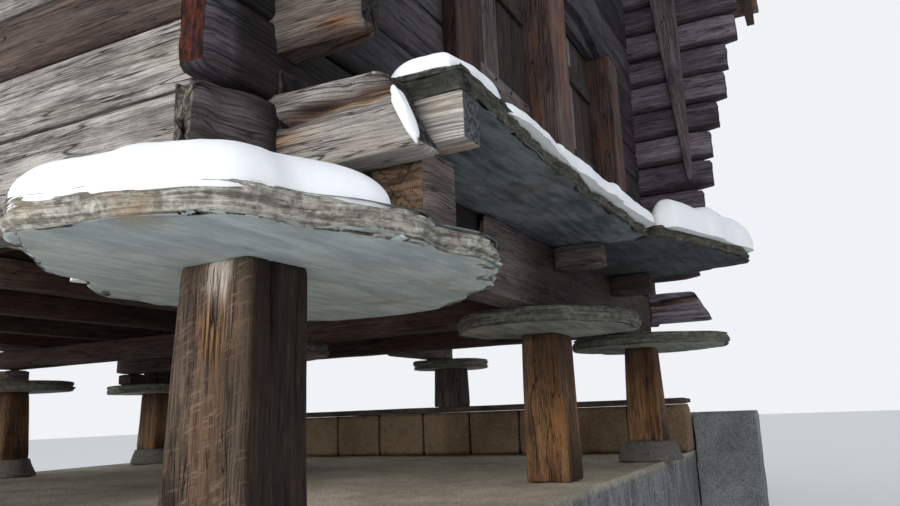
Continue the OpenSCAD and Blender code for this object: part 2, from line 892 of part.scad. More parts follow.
translate(shift) plinth();
translate(shift) terrace_end();
translate(shift) curb_blocks();
translate(shift) curb_plate();
translate(shift) corner_post();
translate(shift) front_posts();
translate(shift) middle_posts();
translate(shift) rear_posts();
translate(shift) stone_feet();
translate(shift) corner_disc();
translate(shift) front_discs();
translate(shift) middle_discs();
translate(shift) rear_discs();
translate(shift) sill_pads();
translate(shift) floor_beams();
translate(shift) floor_joists();
translate(shift) floor_boards();
translate(shift) left_wall();
translate(shift) right_wall();
translate(shift) rear_wall();
translate(shift) threshold_log();
translate(shift) front_wall_left();
translate(shift) front_wall_right();
translate(shift) lintel_log();
translate(shift) front_wall_over();
translate(shift) front_gable();
translate(shift) door_posts();
translate(shift) head_clamps();
translate(shift) door_left();
translate(shift) door_left_straps();
translate(shift) door_right();
translate(shift) door_right_straps();
translate(shift) door_pintles();
translate(shift) landing_beam();
translate(shift) landing_brackets();
translate(shift) landing_slab_left();
translate(shift) landing_slab_right();
translate(shift) purlins();
translate(shift) rafters_left();
translate(shift) rafters_right();
translate(shift) roof_boards_left();
translate(shift) roof_boards_right();
translate(shift) roof_stones_left();
translate(shift) roof_stones_right();
translate(shift) ridge_stones();
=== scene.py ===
"""Raised log granary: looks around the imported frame."""
import bpy
import math
import numpy as np
from mathutils import Matrix, Vector


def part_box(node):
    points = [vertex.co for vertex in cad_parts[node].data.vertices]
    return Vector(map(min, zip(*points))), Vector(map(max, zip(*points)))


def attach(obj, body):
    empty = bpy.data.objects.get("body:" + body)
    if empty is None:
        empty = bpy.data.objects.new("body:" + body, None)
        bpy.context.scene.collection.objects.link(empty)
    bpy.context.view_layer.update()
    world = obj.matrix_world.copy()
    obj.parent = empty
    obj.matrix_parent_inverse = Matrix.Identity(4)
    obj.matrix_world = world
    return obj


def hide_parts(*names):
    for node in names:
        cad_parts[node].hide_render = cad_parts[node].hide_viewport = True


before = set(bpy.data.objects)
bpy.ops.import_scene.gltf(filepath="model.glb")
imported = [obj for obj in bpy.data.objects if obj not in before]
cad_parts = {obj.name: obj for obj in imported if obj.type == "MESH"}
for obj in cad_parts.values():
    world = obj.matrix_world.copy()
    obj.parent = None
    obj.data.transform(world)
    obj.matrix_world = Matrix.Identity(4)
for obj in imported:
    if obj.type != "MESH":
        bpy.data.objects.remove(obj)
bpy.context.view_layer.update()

# Camera of the photograph, in the frame's metres and degrees
CAMERA_PLACE = (-4.3841, -3.8479, 1.0227)
CAMERA_YAW = 26.526
CAMERA_PITCH = 11.885
CAMERA_ROLL = 2.138
CAMERA_FOCAL_PIXELS = 756.5
PHOTO_WIDTH = 900

# Metres, measured from the foot of the corner post; ORIGIN is that foot in the frame
ORIGIN = np.array((-2.62, -2.25, 0.6))
COURSE = 0.27
LOG_W = 0.14
COURSES = 11
DOOR_COURSES = 7
Z_DISC = 0.87
DISC_T = 0.085
Z_PAD = Z_DISC + DISC_T
Z_SILL = 1.13
Z_SIDE = 1.52
Z_FRONT = Z_SIDE - COURSE / 2
Z_LINTEL = Z_FRONT + DOOR_COURSES * COURSE
Z_SIDE_TOP = Z_SIDE + COURSES * COURSE
X_LEFT = -0.05
X_RIGHT = 5.29
X_MID = (X_LEFT + X_RIGHT) / 2
X_INNER = (X_LEFT + LOG_W, X_RIGHT - LOG_W)
Y_FRONT = -0.16
Y_REAR = 5.40
Y_INNER = (Y_FRONT + LOG_W, Y_REAR - LOG_W)
# How far a rough piece stays inside its CAD node, so that neighbours don't touch
INSET = 0.002
FINE_INSET = 0.001

# Doors and their posts
X_DOORS = (1.42, 2.915)
DOOR_W = 1.155
DOOR_GAP = 0.009
LEAF_W = DOOR_W - 2 * DOOR_GAP
LEAF_H = Z_LINTEL - Z_FRONT - 2 * DOOR_GAP
PLANKS = 5
PLANK_T = 0.038
LEDGE_T = 0.030
LEDGE_SHARES = (0.08, 0.42, 0.78)
DOOR_POSTS = ((1.15, 0.27), (2.575, 0.34), (4.07, 0.27))
JAMB_PROUD = 0.065
JAMB_IN = 0.16

# Posts, discs and plinth
X_POSTS = (0.0, 2.75, 4.45)
Y_MIDDLE = 2.30
Y_BACK = 5.25
Y_RIGHT_POST = -0.20
CURB_POST = (5.4775, 2.055)
Z_CURB = 0.48
REAR_DROP = 0.12
FOOT_H = 0.15
FOOT_R = 0.265
CORNER_DISC = (0.10, 0.02)
CORNER_REACH = (1.41, 1.56, 1.0, 0.85, 0.71, 0.82, 1.0, 1.0, 0.86, 0.85, 0.97, 1.08)
CORNER_R = 0.80

# Landing and floor
X_LANDING = X_INNER[0] + 0.01
SLAB_T = 0.07
Z_LANDING = Z_FRONT + 0.03
Z_SLAB = Z_LANDING - SLAB_T
Z_BRACKET = Z_SLAB - 0.15
SLAB_LEFT_L = 2.38
SLAB_RIGHT_L = 1.85
JOISTS = 6
FLOOR_BOARDS = 22

# Roof; a height ending in V is measured upright through the slope
PITCH = math.radians(24)
Y_ROOF = (-1.35, 5.85)
Y_BOARDS = (Y_ROOF[0] + 0.014, Y_ROOF[1] - 0.014)
EAVES = 0.70
RAFTER_H = 0.12
BOARD_T = 0.028
STONE_T = 0.045
RAFTER_V, BOARD_V, STONE_V = (t / math.cos(PITCH) for t in (RAFTER_H, BOARD_T, STONE_T))
Z_EAVES = Z_SIDE_TOP - 0.04

HASH_STEPS = np.array((374761393, 668265263, 69069))
HASH_SEED = 362437
HASH_ROUNDS = ((13, 1274126177), (15, 668265263))
HASH_MASK = 0xFFFFFFFF


def random(seed):
    """A source of random numbers that gives the same row on every run."""
    return np.random.default_rng(seed)


def noise(points, scale=(1, 1, 1), seed=0):
    """Smooth noise from -1 to 1 at points (..., 3), in cells of 1 / scale metres."""
    place = np.asarray(points, float) * np.asarray(scale, float)
    cell = np.floor(place).astype(np.int64)
    share = place - cell
    share = share * share * (3 - 2 * share)
    total = np.zeros(place.shape[:-1])
    for corner in range(8):
        step = np.array((corner & 1, corner >> 1 & 1, corner >> 2 & 1))
        hashed = ((cell + step) @ HASH_STEPS + seed * HASH_SEED) & HASH_MASK
        for shift, mixer in HASH_ROUNDS:
            hashed = ((hashed ^ (hashed >> shift)) * mixer) & HASH_MASK
        weight = np.prod(np.where(step == 1, share, 1 - share), axis=-1)
        total += weight * (((hashed ^ (hashed >> 16)) & 0xFFFF) / 32767.5 - 1)
    return total


def fractal(points, scale, octaves=3, seed=0):
    """Sum of finer and finer noise, in the same cells on all axes."""
    return sum(noise(points, (scale * 2 ** i,) * 3, seed + i) / 2 ** i for i in range(octaves))


def ramp(values, start, end):
    """0 at the start, 1 at the end, and straight between them; the start may be the higher one."""
    return np.clip((values - start) / (end - start), 0, 1)


def bell(values, middle, width):
    """1 in the middle, and falling off smoothly on both sides."""
    return np.exp(-((values - middle) / width) ** 2)


def round_turn(count):
    """Cosines and sines of even steps round a circle."""
    turn = np.linspace(0, 2 * math.pi, count, endpoint=False)
    return np.cos(turn), np.sin(turn)


def six_volumes(points, faces):
    """Six times the signed volume that a closed skin's faces have to the origin."""
    corners = [points[faces[:, n]] for n in range(faces.shape[1])]
    fans = zip(corners[1:], corners[2:])
    return sum(np.einsum("ij,ij->i", corners[0], np.cross(b, c)).sum() for b, c in fans)


def tone_along(axis, start, end, first, last):
    """A tone that changes from the first to the last value between two places on an axis."""
    return lambda points: first + (last - first) * ramp(points[:, axis], start, end)


class Piece:
    """Closed shells that become one object. Each vertex has its grain place, its tone with painted shade, its
    edge share and rot.
    """

    ATTRIBUTES = (("grain", "FLOAT_VECTOR"), ("tone", "FLOAT"), ("edge", "FLOAT"), ("rot", "FLOAT"))

    def __init__(self):
        self.parts = []
        self.count = 0

    def shell(self, rings, grain=None, tone=0.5, edge=0.0, move=None, rot=None):
        """Adds a closed skin through rings (R, N, 3), shut at both ends by a centre point."""
        rows, columns = rings.shape[:2]

        def capped(values):
            """Values of all ring points, then the mean of each end ring for its centre point."""
            grid = np.broadcast_to(values, (rows, columns) + np.shape(values)[2:])
            flat = grid.reshape(rows * columns, *grid.shape[2:])
            return np.concatenate((flat, grid[:1].mean(1), grid[-1:].mean(1)))

        points = capped(rings)
        points = move(points) if move else points
        low, k = np.meshgrid(np.arange(rows - 1) * columns, np.arange(columns), indexing="ij")
        after = (k + 1) % columns
        quads = np.stack((low + k, low + after, low + columns + after, low + columns + k), -1).reshape(-1, 4)
        k, after = k[0], after[0]
        last = (rows - 1) * columns
        first_fan = np.stack((np.full(columns, rows * columns), after, k), -1)
        last_fan = np.stack((np.full(columns, rows * columns + 1), last + k, last + after), -1)
        tris = np.concatenate((first_fan, last_fan))
        if six_volumes(points, quads) + six_volumes(points, tris) < 0:
            quads, tris = quads[:, ::-1], tris[:, ::-1]
        values = (
            capped(rings if grain is None else grain),
            tone(points) if callable(tone) else capped(tone),
            capped(edge),
            rot(points) if rot else np.zeros(len(points)))
        self.parts.append((points, quads + self.count, tris + self.count, *values))
        self.count += len(points)

    def build(self, name, material, slot=None, replaces=None, body="building"):
        """Makes the object, which rides its body and stands for the CAD node of its name or for replaces."""
        points, quads, tris, *values = (np.concatenate(column) for column in zip(*self.parts))
        mesh = bpy.data.meshes.new(name)
        mesh.vertices.add(len(points))
        mesh.vertices.foreach_set("co", (points + ORIGIN).ravel())
        loops = np.concatenate((quads.ravel(), tris.ravel())).astype(np.int32)
        starts = np.concatenate((np.arange(len(quads)) * 4, len(quads) * 4 + np.arange(len(tris)) * 3))
        mesh.loops.add(len(loops))
        mesh.loops.foreach_set("vertex_index", loops)
        mesh.polygons.add(len(starts))
        mesh.polygons.foreach_set("loop_start", starts.astype(np.int32))
        mesh.update(calc_edges=True)
        mesh.polygons.foreach_set("use_smooth", np.ones(len(starts), bool))
        for (label, kind), column in zip(self.ATTRIBUTES, values):
            add_attribute(mesh, label, kind, column)
        mesh.validate()
        obj = bpy.data.objects.new(name, mesh)
        obj.data.materials.append(material)
        bpy.context.scene.collection.objects.link(obj)
        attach(obj, body)
        replaces = [name] if replaces is None else replaces
        if replaces:
            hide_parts(*replaces)


def add_attribute(mesh, label, kind, values):
    key = "vector" if kind == "FLOAT_VECTOR" else "value"
    mesh.attributes.new(label, kind, "POINT").data.foreach_set(key, values.ravel())


def group(name, material, slot, make, places, replaces=None, **style):
    """One piece, which make fills once for each row of its arguments in places."""
    piece = Piece()
    for place in places:
        make(piece, *place, **style)
    piece.build(name, material, slot, replaces)


def section(width, height, bevel, gap_w, gap_h):
    """Points and outward normals round a rectangle with rounded corners, centred on zero."""
    a, b = width / 2 - bevel, height / 2 - bevel
    across = max(1, round(2 * a / gap_w))
    up = max(1, round(2 * b / gap_h))
    points, normals = [], []
    corners = ((a, -b), (a, b), (-a, b), (-a, -b))
    for side, (x, y) in enumerate(corners):
        far_x, far_y = corners[(side + 1) % 4]
        steps = across if side % 2 else up
        stops = [(0, turn) for turn in (-90, -60, -30, 0)] + [(i / steps, 0) for i in range(1, steps)]
        for t, turn in stops:
            angle = math.radians(90 * side + turn)
            normal = (math.cos(angle), math.sin(angle))
            points.append((x + (far_x - x) * t + bevel * normal[0], y + (far_y - y) * t + bevel * normal[1]))
            normals.append(normal)
    return np.array(points), np.array(normals)


def stations(start, end, gap, fine=None, fine_gap=None):
    """Places along a timber, closer together between the two places of fine."""
    if fine is None:
        return np.linspace(start, end, max(2, round((end - start) / gap) + 1))
    a, b = max(start, fine[0]), min(end, fine[1])
    rows = [np.arange(start, a, gap), np.arange(a, b, fine_gap), np.arange(b, end, gap), [end]]
    out = np.unique(np.round(np.concatenate(rows), 5))
    return out[np.concatenate(([True], np.diff(out) > 1e-4))]


CAP_SHARES = (0.955, 0.86, 0.7, 0.5, 0.3, 0.12)
# Where x, y and z stand in (along, across, up) for a timber along each axis
AXIS_ORDER = ([0, 1, 2], [1, 0, 2], [1, 2, 0])
CRACK_W = 0.006
PITH_REACH = 0.32


def timber(
    piece, axis, span, low, size, seed, bevel=0.02, gaps=(0.04, 0.04), rough=1.0, cracks=2, tone=None,
    far=None, worn=0.012, slant=None, ends=(0, 0), move=None, crack_depth=0.008, carve=None, rot=None,
):
    """A hewn timber along an axis from its span (as for stations), low corner and size across.

    far is the low corner and size at the far end. slant is how far the two ends lean along the timber
    per metre of height. ends swells (+) or shrinks (-) the section at each end.
    """
    rng = random(seed)
    along = stations(*span)
    low, size = np.array(low, float), np.array(size, float)
    far_low, far_size = (low, size) if far is None else np.array(far, float)
    loop, normal = section(*size, bevel, *gaps)
    t = ramp(along, along[0], along[-1])[:, None, None]
    centre = (low + size / 2) * (1 - t) + (far_low + far_size / 2) * t
    flat = loop * (1 - t) + loop * (far_size / size) * t
    pith = size * rng.uniform(-PITH_REACH, PITH_REACH, 2)
    shift = rng.uniform(0, 40)
    runs = np.broadcast_to(along[:, None], flat.shape[:2])
    grain = np.concatenate((runs[..., None] + shift, flat - pith), -1)
    depth = 0.0055 * noise(grain, (1.3, 5, 5), seed) + 0.0022 * noise(grain, (4, 22, 22), seed + 1)
    depth += 0.0012 * noise(grain, (5, 70, 70), seed + 2) - 0.003
    spread = np.cumsum(np.linalg.norm(np.diff(loop, axis=0, append=loop[:1]), axis=1))
    for _ in range(cracks):
        middle = rng.uniform(0, spread[-1])
        begin, length = rng.uniform(along[0] - 0.2, along[-1] - 0.2), rng.uniform(0.4, 1.6)
        wander = 0.012 * np.sin(along * rng.uniform(2, 6) + rng.uniform(0, 6))
        wander += rng.uniform(-0.02, 0.02) * along
        stop = begin + length
        reach = np.minimum(ramp(along, begin, begin + 0.15), ramp(along, stop, stop - 0.15))
        depth -= crack_depth * bell(spread, middle + wander[:, None], CRACK_W) * reach[:, None]
    for end, grow in zip((along[0], along[-1]), ends):
        depth += grow * bell(along[:, None], end, 0.12)
    away = np.minimum(along - along[0], along[-1] - along)[:, None]
    depth = depth * rough - worn * bell(away, 0, 0.012)
    if carve:
        depth = depth + carve(runs, centre + flat, normal)
    flat = flat + depth[..., None] * normal
    rings = np.concatenate((runs[..., None], centre + flat), -1)

    def cap(end, outward):
        """Rings that close one end, with a rough cut face, and their grain."""
        rows, grains = (np.tile(whole[end], (len(CAP_SHARES), 1, 1)) for whole in (rings, grain))
        for part in (rows, grains):
            middle = part[..., 1:].mean(1, keepdims=True)
            part[..., 1:] = middle + (part[..., 1:] - middle) * np.array(CAP_SHARES)[:, None, None]
        bump = noise(grains, (0.1, 45, 45), seed + 5) * 0.0035
        bump += noise(grains, (0.1, 14, 14), seed + 6) * 0.005
        rows[..., 0] = along[end] + outward * (0.004 + bump * rough)
        return rows, grains

    (first, first_grain), (last, last_grain) = cap(0, -1), cap(-1, 1)
    rings = np.concatenate((first[::-1], rings, last))
    grain = np.concatenate((first_grain[::-1], grain, last_grain))
    edge = np.ones(rings.shape[:2])
    edge[len(CAP_SHARES):-len(CAP_SHARES)] = 0
    if slant:
        near = 1 - ramp(rings[..., 0], along[0], along[-1])
        height = rings[..., 2] - centre[0, 0, 1]
        rings[..., 0] += height * (slant[0] * near + slant[1] * (1 - near))
    tone = rng.uniform() if tone is None else tone
    piece.shell(rings[..., AXIS_ORDER[axis]], grain, tone, edge, move, rot)


def timbers(name, material, slot, axis, span, lows, size, seed, **style):
    """A piece of like timbers, one at each low corner."""
    places = [(axis, span, low, size, seed + i) for i, low in enumerate(lows)]
    group(name, material, slot, timber, places, **style)


def resample(outline, gap):
    """Points at even steps round a closed outline."""
    closed = np.concatenate((outline, outline[:1]))
    lengths = np.concatenate(([0], np.cumsum(np.linalg.norm(np.diff(closed, axis=0), axis=1))))
    count = max(8, round(lengths[-1] / gap))
    places = np.arange(count) * lengths[-1] / count
    return np.stack([np.interp(places, lengths, closed[:, n]) for n in range(2)], -1)


def smooth_loop(points, rounds):
    """Rounds off a closed row of points."""
    for _ in range(rounds):
        points = (np.roll(points, 1, 0) + 2 * points + np.roll(points, -1, 0)) / 4
    return points


def lifted(plan, z=0.0):
    """Plan points (N, 2) as points in space at the height z."""
    return np.column_stack((plan, np.broadcast_to(z, len(plan))))


def slab(
    piece, outline, z_low, z_high, gap, spine, seed, levels, flake, ragged, wave, rings, layer_t, chips=0.0,
    tone=0.5, move=None, rounding=1, top_profile=None, rot=None,
):
    """A split stone slab: an outline with a layered broken edge, and caps that close on its spine.

    The edge has that many levels in layers of layer_t, which stand back by flake and are ragged in plan.
    The flat faces have rings at those shares of the way to the spine, rise in waves, and are chipped below.
    """
    loop = smooth_loop(resample(np.array(outline, float), gap), rounding)
    start, end = np.array(spine if spine else (loop.mean(0),) * 2, float)
    line = end - start
    share = np.clip((loop - start) @ line / max(1e-9, line @ line), 0, 1)
    inward = start + share[:, None] * line - loop
    reach = np.linalg.norm(inward, axis=1, keepdims=True)
    inward = inward / reach
    flat = lifted(loop)
    rag = ragged * fractal(flat, 4, 4, seed)
    rows = []

    def cap_rows(z, top):
        """Rings of one flat face, from the rim inward."""
        for t in rings:
            plan = loop + inward * (reach * t) - inward * rag[:, None] * (1 - t)
            point = lifted(plan)
            rise = wave * fractal(point, 3, 3, seed + 9)
            if chips and not top:
                rise += chips * np.clip(fractal(point, 5, 2, seed + 4) * 6 - 1.2 - 14 * t, 0, 1)
            if top_profile and top:
                rise += top_profile(t, point)
            yield lifted(plan, z + rise)

    top = list(cap_rows(z_high, True))
    bottom = list(cap_rows(z_low, False))
    for i, z in enumerate(np.linspace(z_high, z_low, levels)):
        layer = math.floor((z - z_low) / layer_t + 0.5)
        setback = flake * np.clip(0.9 * fractal(flat + (0, 0, layer * 3.7), 5, 3, seed + 20) + 0.35, 0, 1.6)
        fray = 0.25 * flake * fractal(flat + (0, 0, z * 9), 26, 2, seed + 30)
        chamfer = flake * 0.6 * abs(2 * i / (levels - 1) - 1) ** 4
        plan = loop + inward * (setback + fray + chamfer - rag)[:, None]
        rows.append(lifted(plan, z + wave * fractal(lifted(plan), 3, 3, seed + 9)))
    skin = np.stack(top[::-1] + rows + bottom)
    edge = np.zeros(skin.shape[:2])
    edge[len(top):len(top) + levels] = 1
    piece.shell(skin, None, tone, edge, move, rot)


class Shader:
    """A material under construction. Each method adds nodes and gives back their output."""

    def __init__(self, name, roughness=0.85, specular=0.3):
        self.material = bpy.data.materials.new(name)
        self.material.use_nodes = True
        self.tree = self.material.node_tree
        self.surface = self.tree.nodes["Principled BSDF"]
        self.surface.inputs["Roughness"].default_value = roughness
        self.surface.inputs["Specular IOR Level"].default_value = specular

    def put(self, socket, value):
        if isinstance(value, bpy.types.NodeSocket):
            self.tree.links.new(value, socket)
        else:
            socket.default_value = value

    def node(self, kind, output, inputs=(), **settings):
        """One node with its settings and inputs, which are pairs of a socket's name or number and a value."""
        node = self.tree.nodes.new("ShaderNode" + kind)
        for name, value in settings.items():
            setattr(node, name, value)
        for key, value in inputs:
            self.put(node.inputs[key], value)
        return node.outputs[output]

    def attribute(self, name, output="Fac"):
        return self.node("Attribute", output, attribute_name=name)

    def place(self):
        return self.node("TexCoord", "Object")

    def mapped(self, vector, **inputs):
        return self.node("Mapping", "Vector", (("Vector", vector), *inputs.items()))

    def noise(self, vector, scale, detail=4, roughness=0.55, shift=(0, 0, 0), distortion=0.0):
        """Noise in cells of 1 / scale, which may be given for each axis, together with a shift."""
        if isinstance(scale, tuple):
            vector, scale = self.mapped(vector, Scale=scale, Location=shift), 1.0
        return self.node("TexNoise", "Fac", (
            ("Vector", vector), ("Scale", scale), ("Detail", detail), ("Roughness", roughness),
            ("Distortion", distortion)))

    def pebbles(self, vector, scale):
        return self.node("TexVoronoi", "Distance", (("Vector", vector), ("Scale", scale)))

    def rings(self, vector, scale, distortion, detail):
        return self.node(
            "TexWave", "Fac",
            (("Vector", vector), ("Scale", scale), ("Distortion", distortion), ("Detail", detail)),
            wave_type="RINGS", rings_direction="X")

    def math(self, operation, a, b=0.0):
        return self.node("Math", 0, ((0, a), (1, b)), operation=operation)

    def times(self, *values):
        """Product of values."""
        product = values[0]
        for value in values[1:]:
            product = self.math("MULTIPLY", product, value)
        return product

    def total(self, *terms):
        """Sum of values, each given with its weight."""
        parts = [self.times(*term) for term in terms]
        result = parts[0]
        for part in parts[1:]:
            result = self.math("ADD", result, part)
        return result

    def span(self, value, low, high, out_low=0.0, out_high=1.0):
        """Stretches a value from low..high to out_low..out_high, cut off at both ends."""
        return self.node("MapRange", "Result", (
            ("Value", value), ("From Min", low), ("From Max", high), ("To Min", out_low),
            ("To Max", out_high)), interpolation_type="SMOOTHSTEP")

    def line(self, value, middle, width):
        """1 where a value lies close to a middle, 0 elsewhere: a thin contour line."""
        away = self.math("ABSOLUTE", self.math("SUBTRACT", value, middle))
        return self.span(away, 0.0, width, 1.0, 0.0)

    def mix(self, share, a, b, blend="MIX"):
        return self.node("Mix", 2, ((0, share), (6, a), (7, b)), data_type="RGBA", blend_type=blend)

    def grey(self, value):
        """A value as a grey colour, for multiplying."""
        return self.node("CombineColor", 0, ((0, value), (1, value), (2, value)))

    def darken(self, colour, share, amount):
        """Darkens a colour by up to amount where share is 1."""
        keep = self.math("SUBTRACT", 1.0, self.math("MULTIPLY", share, amount))
        return self.mix(1.0, colour, self.grey(keep), "MULTIPLY")

    def finish(self, colour, height=None, distance=0.004, strength=1.0):
        """The finished material, with its height as a bump."""
        self.put(self.surface.inputs["Base Color"], colour)
        if height is not None:
            bump = (("Strength", strength), ("Distance", distance), ("Height", height))
            self.put(self.surface.inputs["Normal"], self.node("Bump", "Normal", bump))
        return self.material


def rgb(red, green, blue):
    """A colour given by its eye values from 0 to 255."""
    return tuple(((c / 255 + 0.055) / 1.055) ** 2.4 for c in (red, green, blue)) + (1.0,)


# Pale wood colour, also used as painted light on the timbers under the floor
PALE_WOOD_AND_PAINTED_LIGHT = rgb(236, 220, 204)
ROTTEN = rgb(48, 30, 20), rgb(178, 132, 88)
SOIL = rgb(24, 25, 22), rgb(66, 66, 60)


def wood(
    name, *colours, contrast=1.0, warm_share=0.4, distance=0.004, crack=0.85, ring_depth=0.12,
    shade=(0.2, 0.16, 0.15, 1), strokes=0.0, end_scale=(1, 60, 60),
):
    """Weathered timber: fibres, growth rings, stains, drying cracks, adze strokes with painted highlights,
    cut ends.

    The colours are dark, light and warm wood, and dark and light ends. Shade is a painted shade colour that
    the wood is multiplied by where the tone is 0.
    """
    s = Shader(name)
    dark, light, warm, end_dark, end_light = (rgb(*colour) for colour in colours)
    grain = s.attribute("grain", "Vector")
    tone = s.attribute("tone")
    bent = s.mix(0.035, grain, s.grey(s.noise(grain, (0.9, 5, 5), 3)), "ADD")
    rings = s.rings(s.mapped(bent, Scale=(0.05, 1, 1)), 38.0, 1.2, 3.0)
    fibres = s.noise(bent, (9, 290, 290), 4, 0.72)
    threads = s.noise(bent, (3.2, 110, 110), 5, 0.7)
    streaks = s.noise(bent, (0.9, 28, 28), 4, 0.6)
    stains = s.noise(grain, (1.4, 6, 6), 4, 0.6, (3, 1, 2))
    patches = s.noise(grain, (2.2, 6, 6), 5, 0.65, (11, 5, 7))
    specks = s.noise(grain, 110, 4, 0.7)
    long_cracks = s.line(s.noise(grain, (0.8, 15, 15), 2, 0.4, (5, 9, 1)), 0.5, 0.011)
    where = s.span(s.noise(grain, (1.4, 9, 9), 2, shift=(1, 2, 9)), 0.42, 0.56)
    short_cracks = s.line(s.noise(grain, (3.2, 60, 60), 2, 0.4, (2, 4, 1)), 0.5, 0.028)
    there = s.span(s.noise(grain, (4, 20, 20), 2, shift=(7, 2, 3)), 0.5, 0.62)
    cracks = s.math("MAXIMUM", s.times(long_cracks, where), s.times(short_cracks, there))

    colour = s.mix(s.span(s.total((fibres, 0.4), (threads, 0.35), (streaks, 0.25)), 0.40, 0.60), dark, light)
    colour = s.mix(s.times(s.span(stains, 0.45, 0.68), warm_share), colour, warm)
    colour = s.darken(colour, s.span(patches, 0.44, 0.66), 0.4 * contrast)
    colour = s.darken(colour, s.span(specks, 0.56, 0.68), 0.4 * contrast)
    colour = s.darken(colour, s.math("SUBTRACT", 1.0, rings), ring_depth)
    # Adze strokes painted as pale highlights, only where the tone is lit
    if strokes:
        cut = s.noise(s.mapped(s.place(), Rotation=(0.36, 0, 0)), (9, 9, 74), 5, 0.7)
        pale = s.times(s.span(cut, 0.54, 0.62), strokes)
        colour = s.mix(s.times(pale, s.span(tone, 0.15, 0.45)), colour, light)
    # Above a tone of 1 the wood turns pale: the pale head of the corner post, and painted light on the
    # timbers under the floor
    colour = s.mix(s.times(s.span(tone, 1.0, 1.6), s.span(threads, 0.35, 0.55)), colour, PALE_WOOD_AND_PAINTED_LIGHT)
    rotten = s.mix(s.span(threads, 0.42, 0.58), *ROTTEN)
    colour = s.mix(s.times(s.attribute("rot"), s.span(streaks, 0.3, 0.5)), colour, rotten)
    colour = s.darken(colour, cracks, crack)

    end = s.mix(s.span(s.noise(grain, end_scale, 5, 0.6), 0.4, 0.62), end_dark, end_light)
    end = s.darken(end, rings, 0.35)
    end = s.darken(end, s.span(specks, 0.53, 0.68), 0.4)
    end = s.darken(end, cracks, 0.3)
    colour = s.mix(s.span(s.attribute("edge"), 0.3, 0.9), colour, end)
    # Painted shade: where the tone is low the colour is multiplied by the shade colour
    colour = s.mix(s.span(tone, 0.0, 1.0), s.mix(1.0, colour, shade, "MULTIPLY"), colour)
    height = s.total((fibres, 0.5), (threads, 0.7), (streaks, 0.6), (rings, 0.1), (cracks, -1.2))
    return s.finish(colour, height, distance)


def stone(name, *colours, moss=None, stain=None):
    """Split schist: fine streaks on the flat faces, layered and chipped on the edges.

    The colours are dark and light faces, then dark and light edges. Moss and stain are a colour and a share.
    """
    s = Shader(name, 0.8)
    low, high, edge_low, edge_high = (rgb(*colour) for colour in colours)
    place = s.place()
    broad = s.noise(place, 2.2, 4, 0.6)
    fine = s.noise(place, 26, 6, 0.7)
    streaks = s.noise(place, (4, 22, 22), 5, 0.6, distortion=0.4)
    speckle = s.noise(place, 130, 3, 0.6)
    layers = s.noise(place, (3, 3, 130), 3, 0.6)
    scuffs = s.noise(place, (10, 34, 34), 5, 0.7)
    edge = s.span(s.attribute("edge"), 0.2, 0.8)

    face = s.mix(s.span(s.total((broad, 0.45), (streaks, 0.55)), 0.38, 0.62), low, high)
    face = s.darken(face, s.span(fine, 0.55, 0.75), 0.18)
    face = s.darken(face, s.span(scuffs, 0.58, 0.7), 0.3)
    rim = s.mix(s.span(s.total((fine, 0.6), (layers, 0.4)), 0.4, 0.62), edge_low, edge_high)
    rim = s.darken(rim, s.span(speckle, 0.54, 0.7), 0.35)
    colour = s.mix(edge, face, rim)
    colour = s.mix(s.attribute("rot"), colour, s.mix(s.span(fine, 0.42, 0.6), *SOIL))
    if stain:
        spots = s.span(s.noise(s.mapped(place, Location=(4, 2, 1)), 2.6, 5, 0.65), 0.55, 0.72)
        colour = s.mix(s.times(spots, stain[1]), colour, rgb(*stain[0]))
    if moss:
        growth = s.times(s.span(s.noise(place, 7, 5, 0.7), 0.42, 0.62), moss[1])
        colour = s.mix(s.times(growth, s.total((edge, 0.65), (0.35,))), colour, rgb(*moss[0]))
    height = s.total((fine, 0.5), (streaks, 0.35), (layers, edge, 1.6), (speckle, 0.18))
    return s.finish(colour, height, 0.008)


def rough_cast(name, *colours):
    """Rough masonry skin of sand and grit.

    The colours are dark, light and dust, then dark and light sides, which show where the tone is 0.
    """
    s = Shader(name, 0.9)
    low, high, dust, *sides = (rgb(*colour) for colour in colours)
    place = s.place()
    broad = s.noise(place, 1.3, 5, 0.6)
    grit = s.noise(place, 60, 5, 0.7)
    blots = s.noise(place, 9, 5, 0.7)
    pebbles = s.pebbles(place, 75)
    colour = s.mix(s.span(broad, 0.35, 0.65), low, high)
    if sides:
        side = s.mix(s.span(s.noise(place, (14, 14, 3), 4, 0.6), 0.35, 0.65), *sides)
        colour = s.mix(s.attribute("tone"), side, colour)
    colour = s.mix(s.times(s.span(grit, 0.5, 0.72), 0.6), colour, dust)
    colour = s.darken(colour, s.span(blots, 0.5, 0.7), 0.25)
    colour = s.darken(colour, s.span(pebbles, 0.3, 0.8), 0.35)
    return s.finish(colour, s.total((grit, 0.7), (pebbles, -0.6)), 0.006)


def snow_finish():
    s = Shader("snow", 0.6, 0.25)
    s.surface.inputs["Subsurface Weight"].default_value = 0.25
    s.surface.inputs["Subsurface Radius"].default_value = (0.03, 0.04, 0.05)
    return s.finish(rgb(246, 249, 253), s.noise(s.place(), 55, 4, 0.6), 0.003, 0.5)


def iron_finish():
    s = Shader("hinge_iron", 0.6, 0.5)
    rust = s.noise(s.place(), 40, 5, 0.7)
    s.surface.inputs["Metallic"].default_value = 0.6
    return s.finish(s.mix(s.span(rust, 0.45, 0.65), rgb(52, 46, 44), rgb(104, 66, 44)), rust, 0.0015)


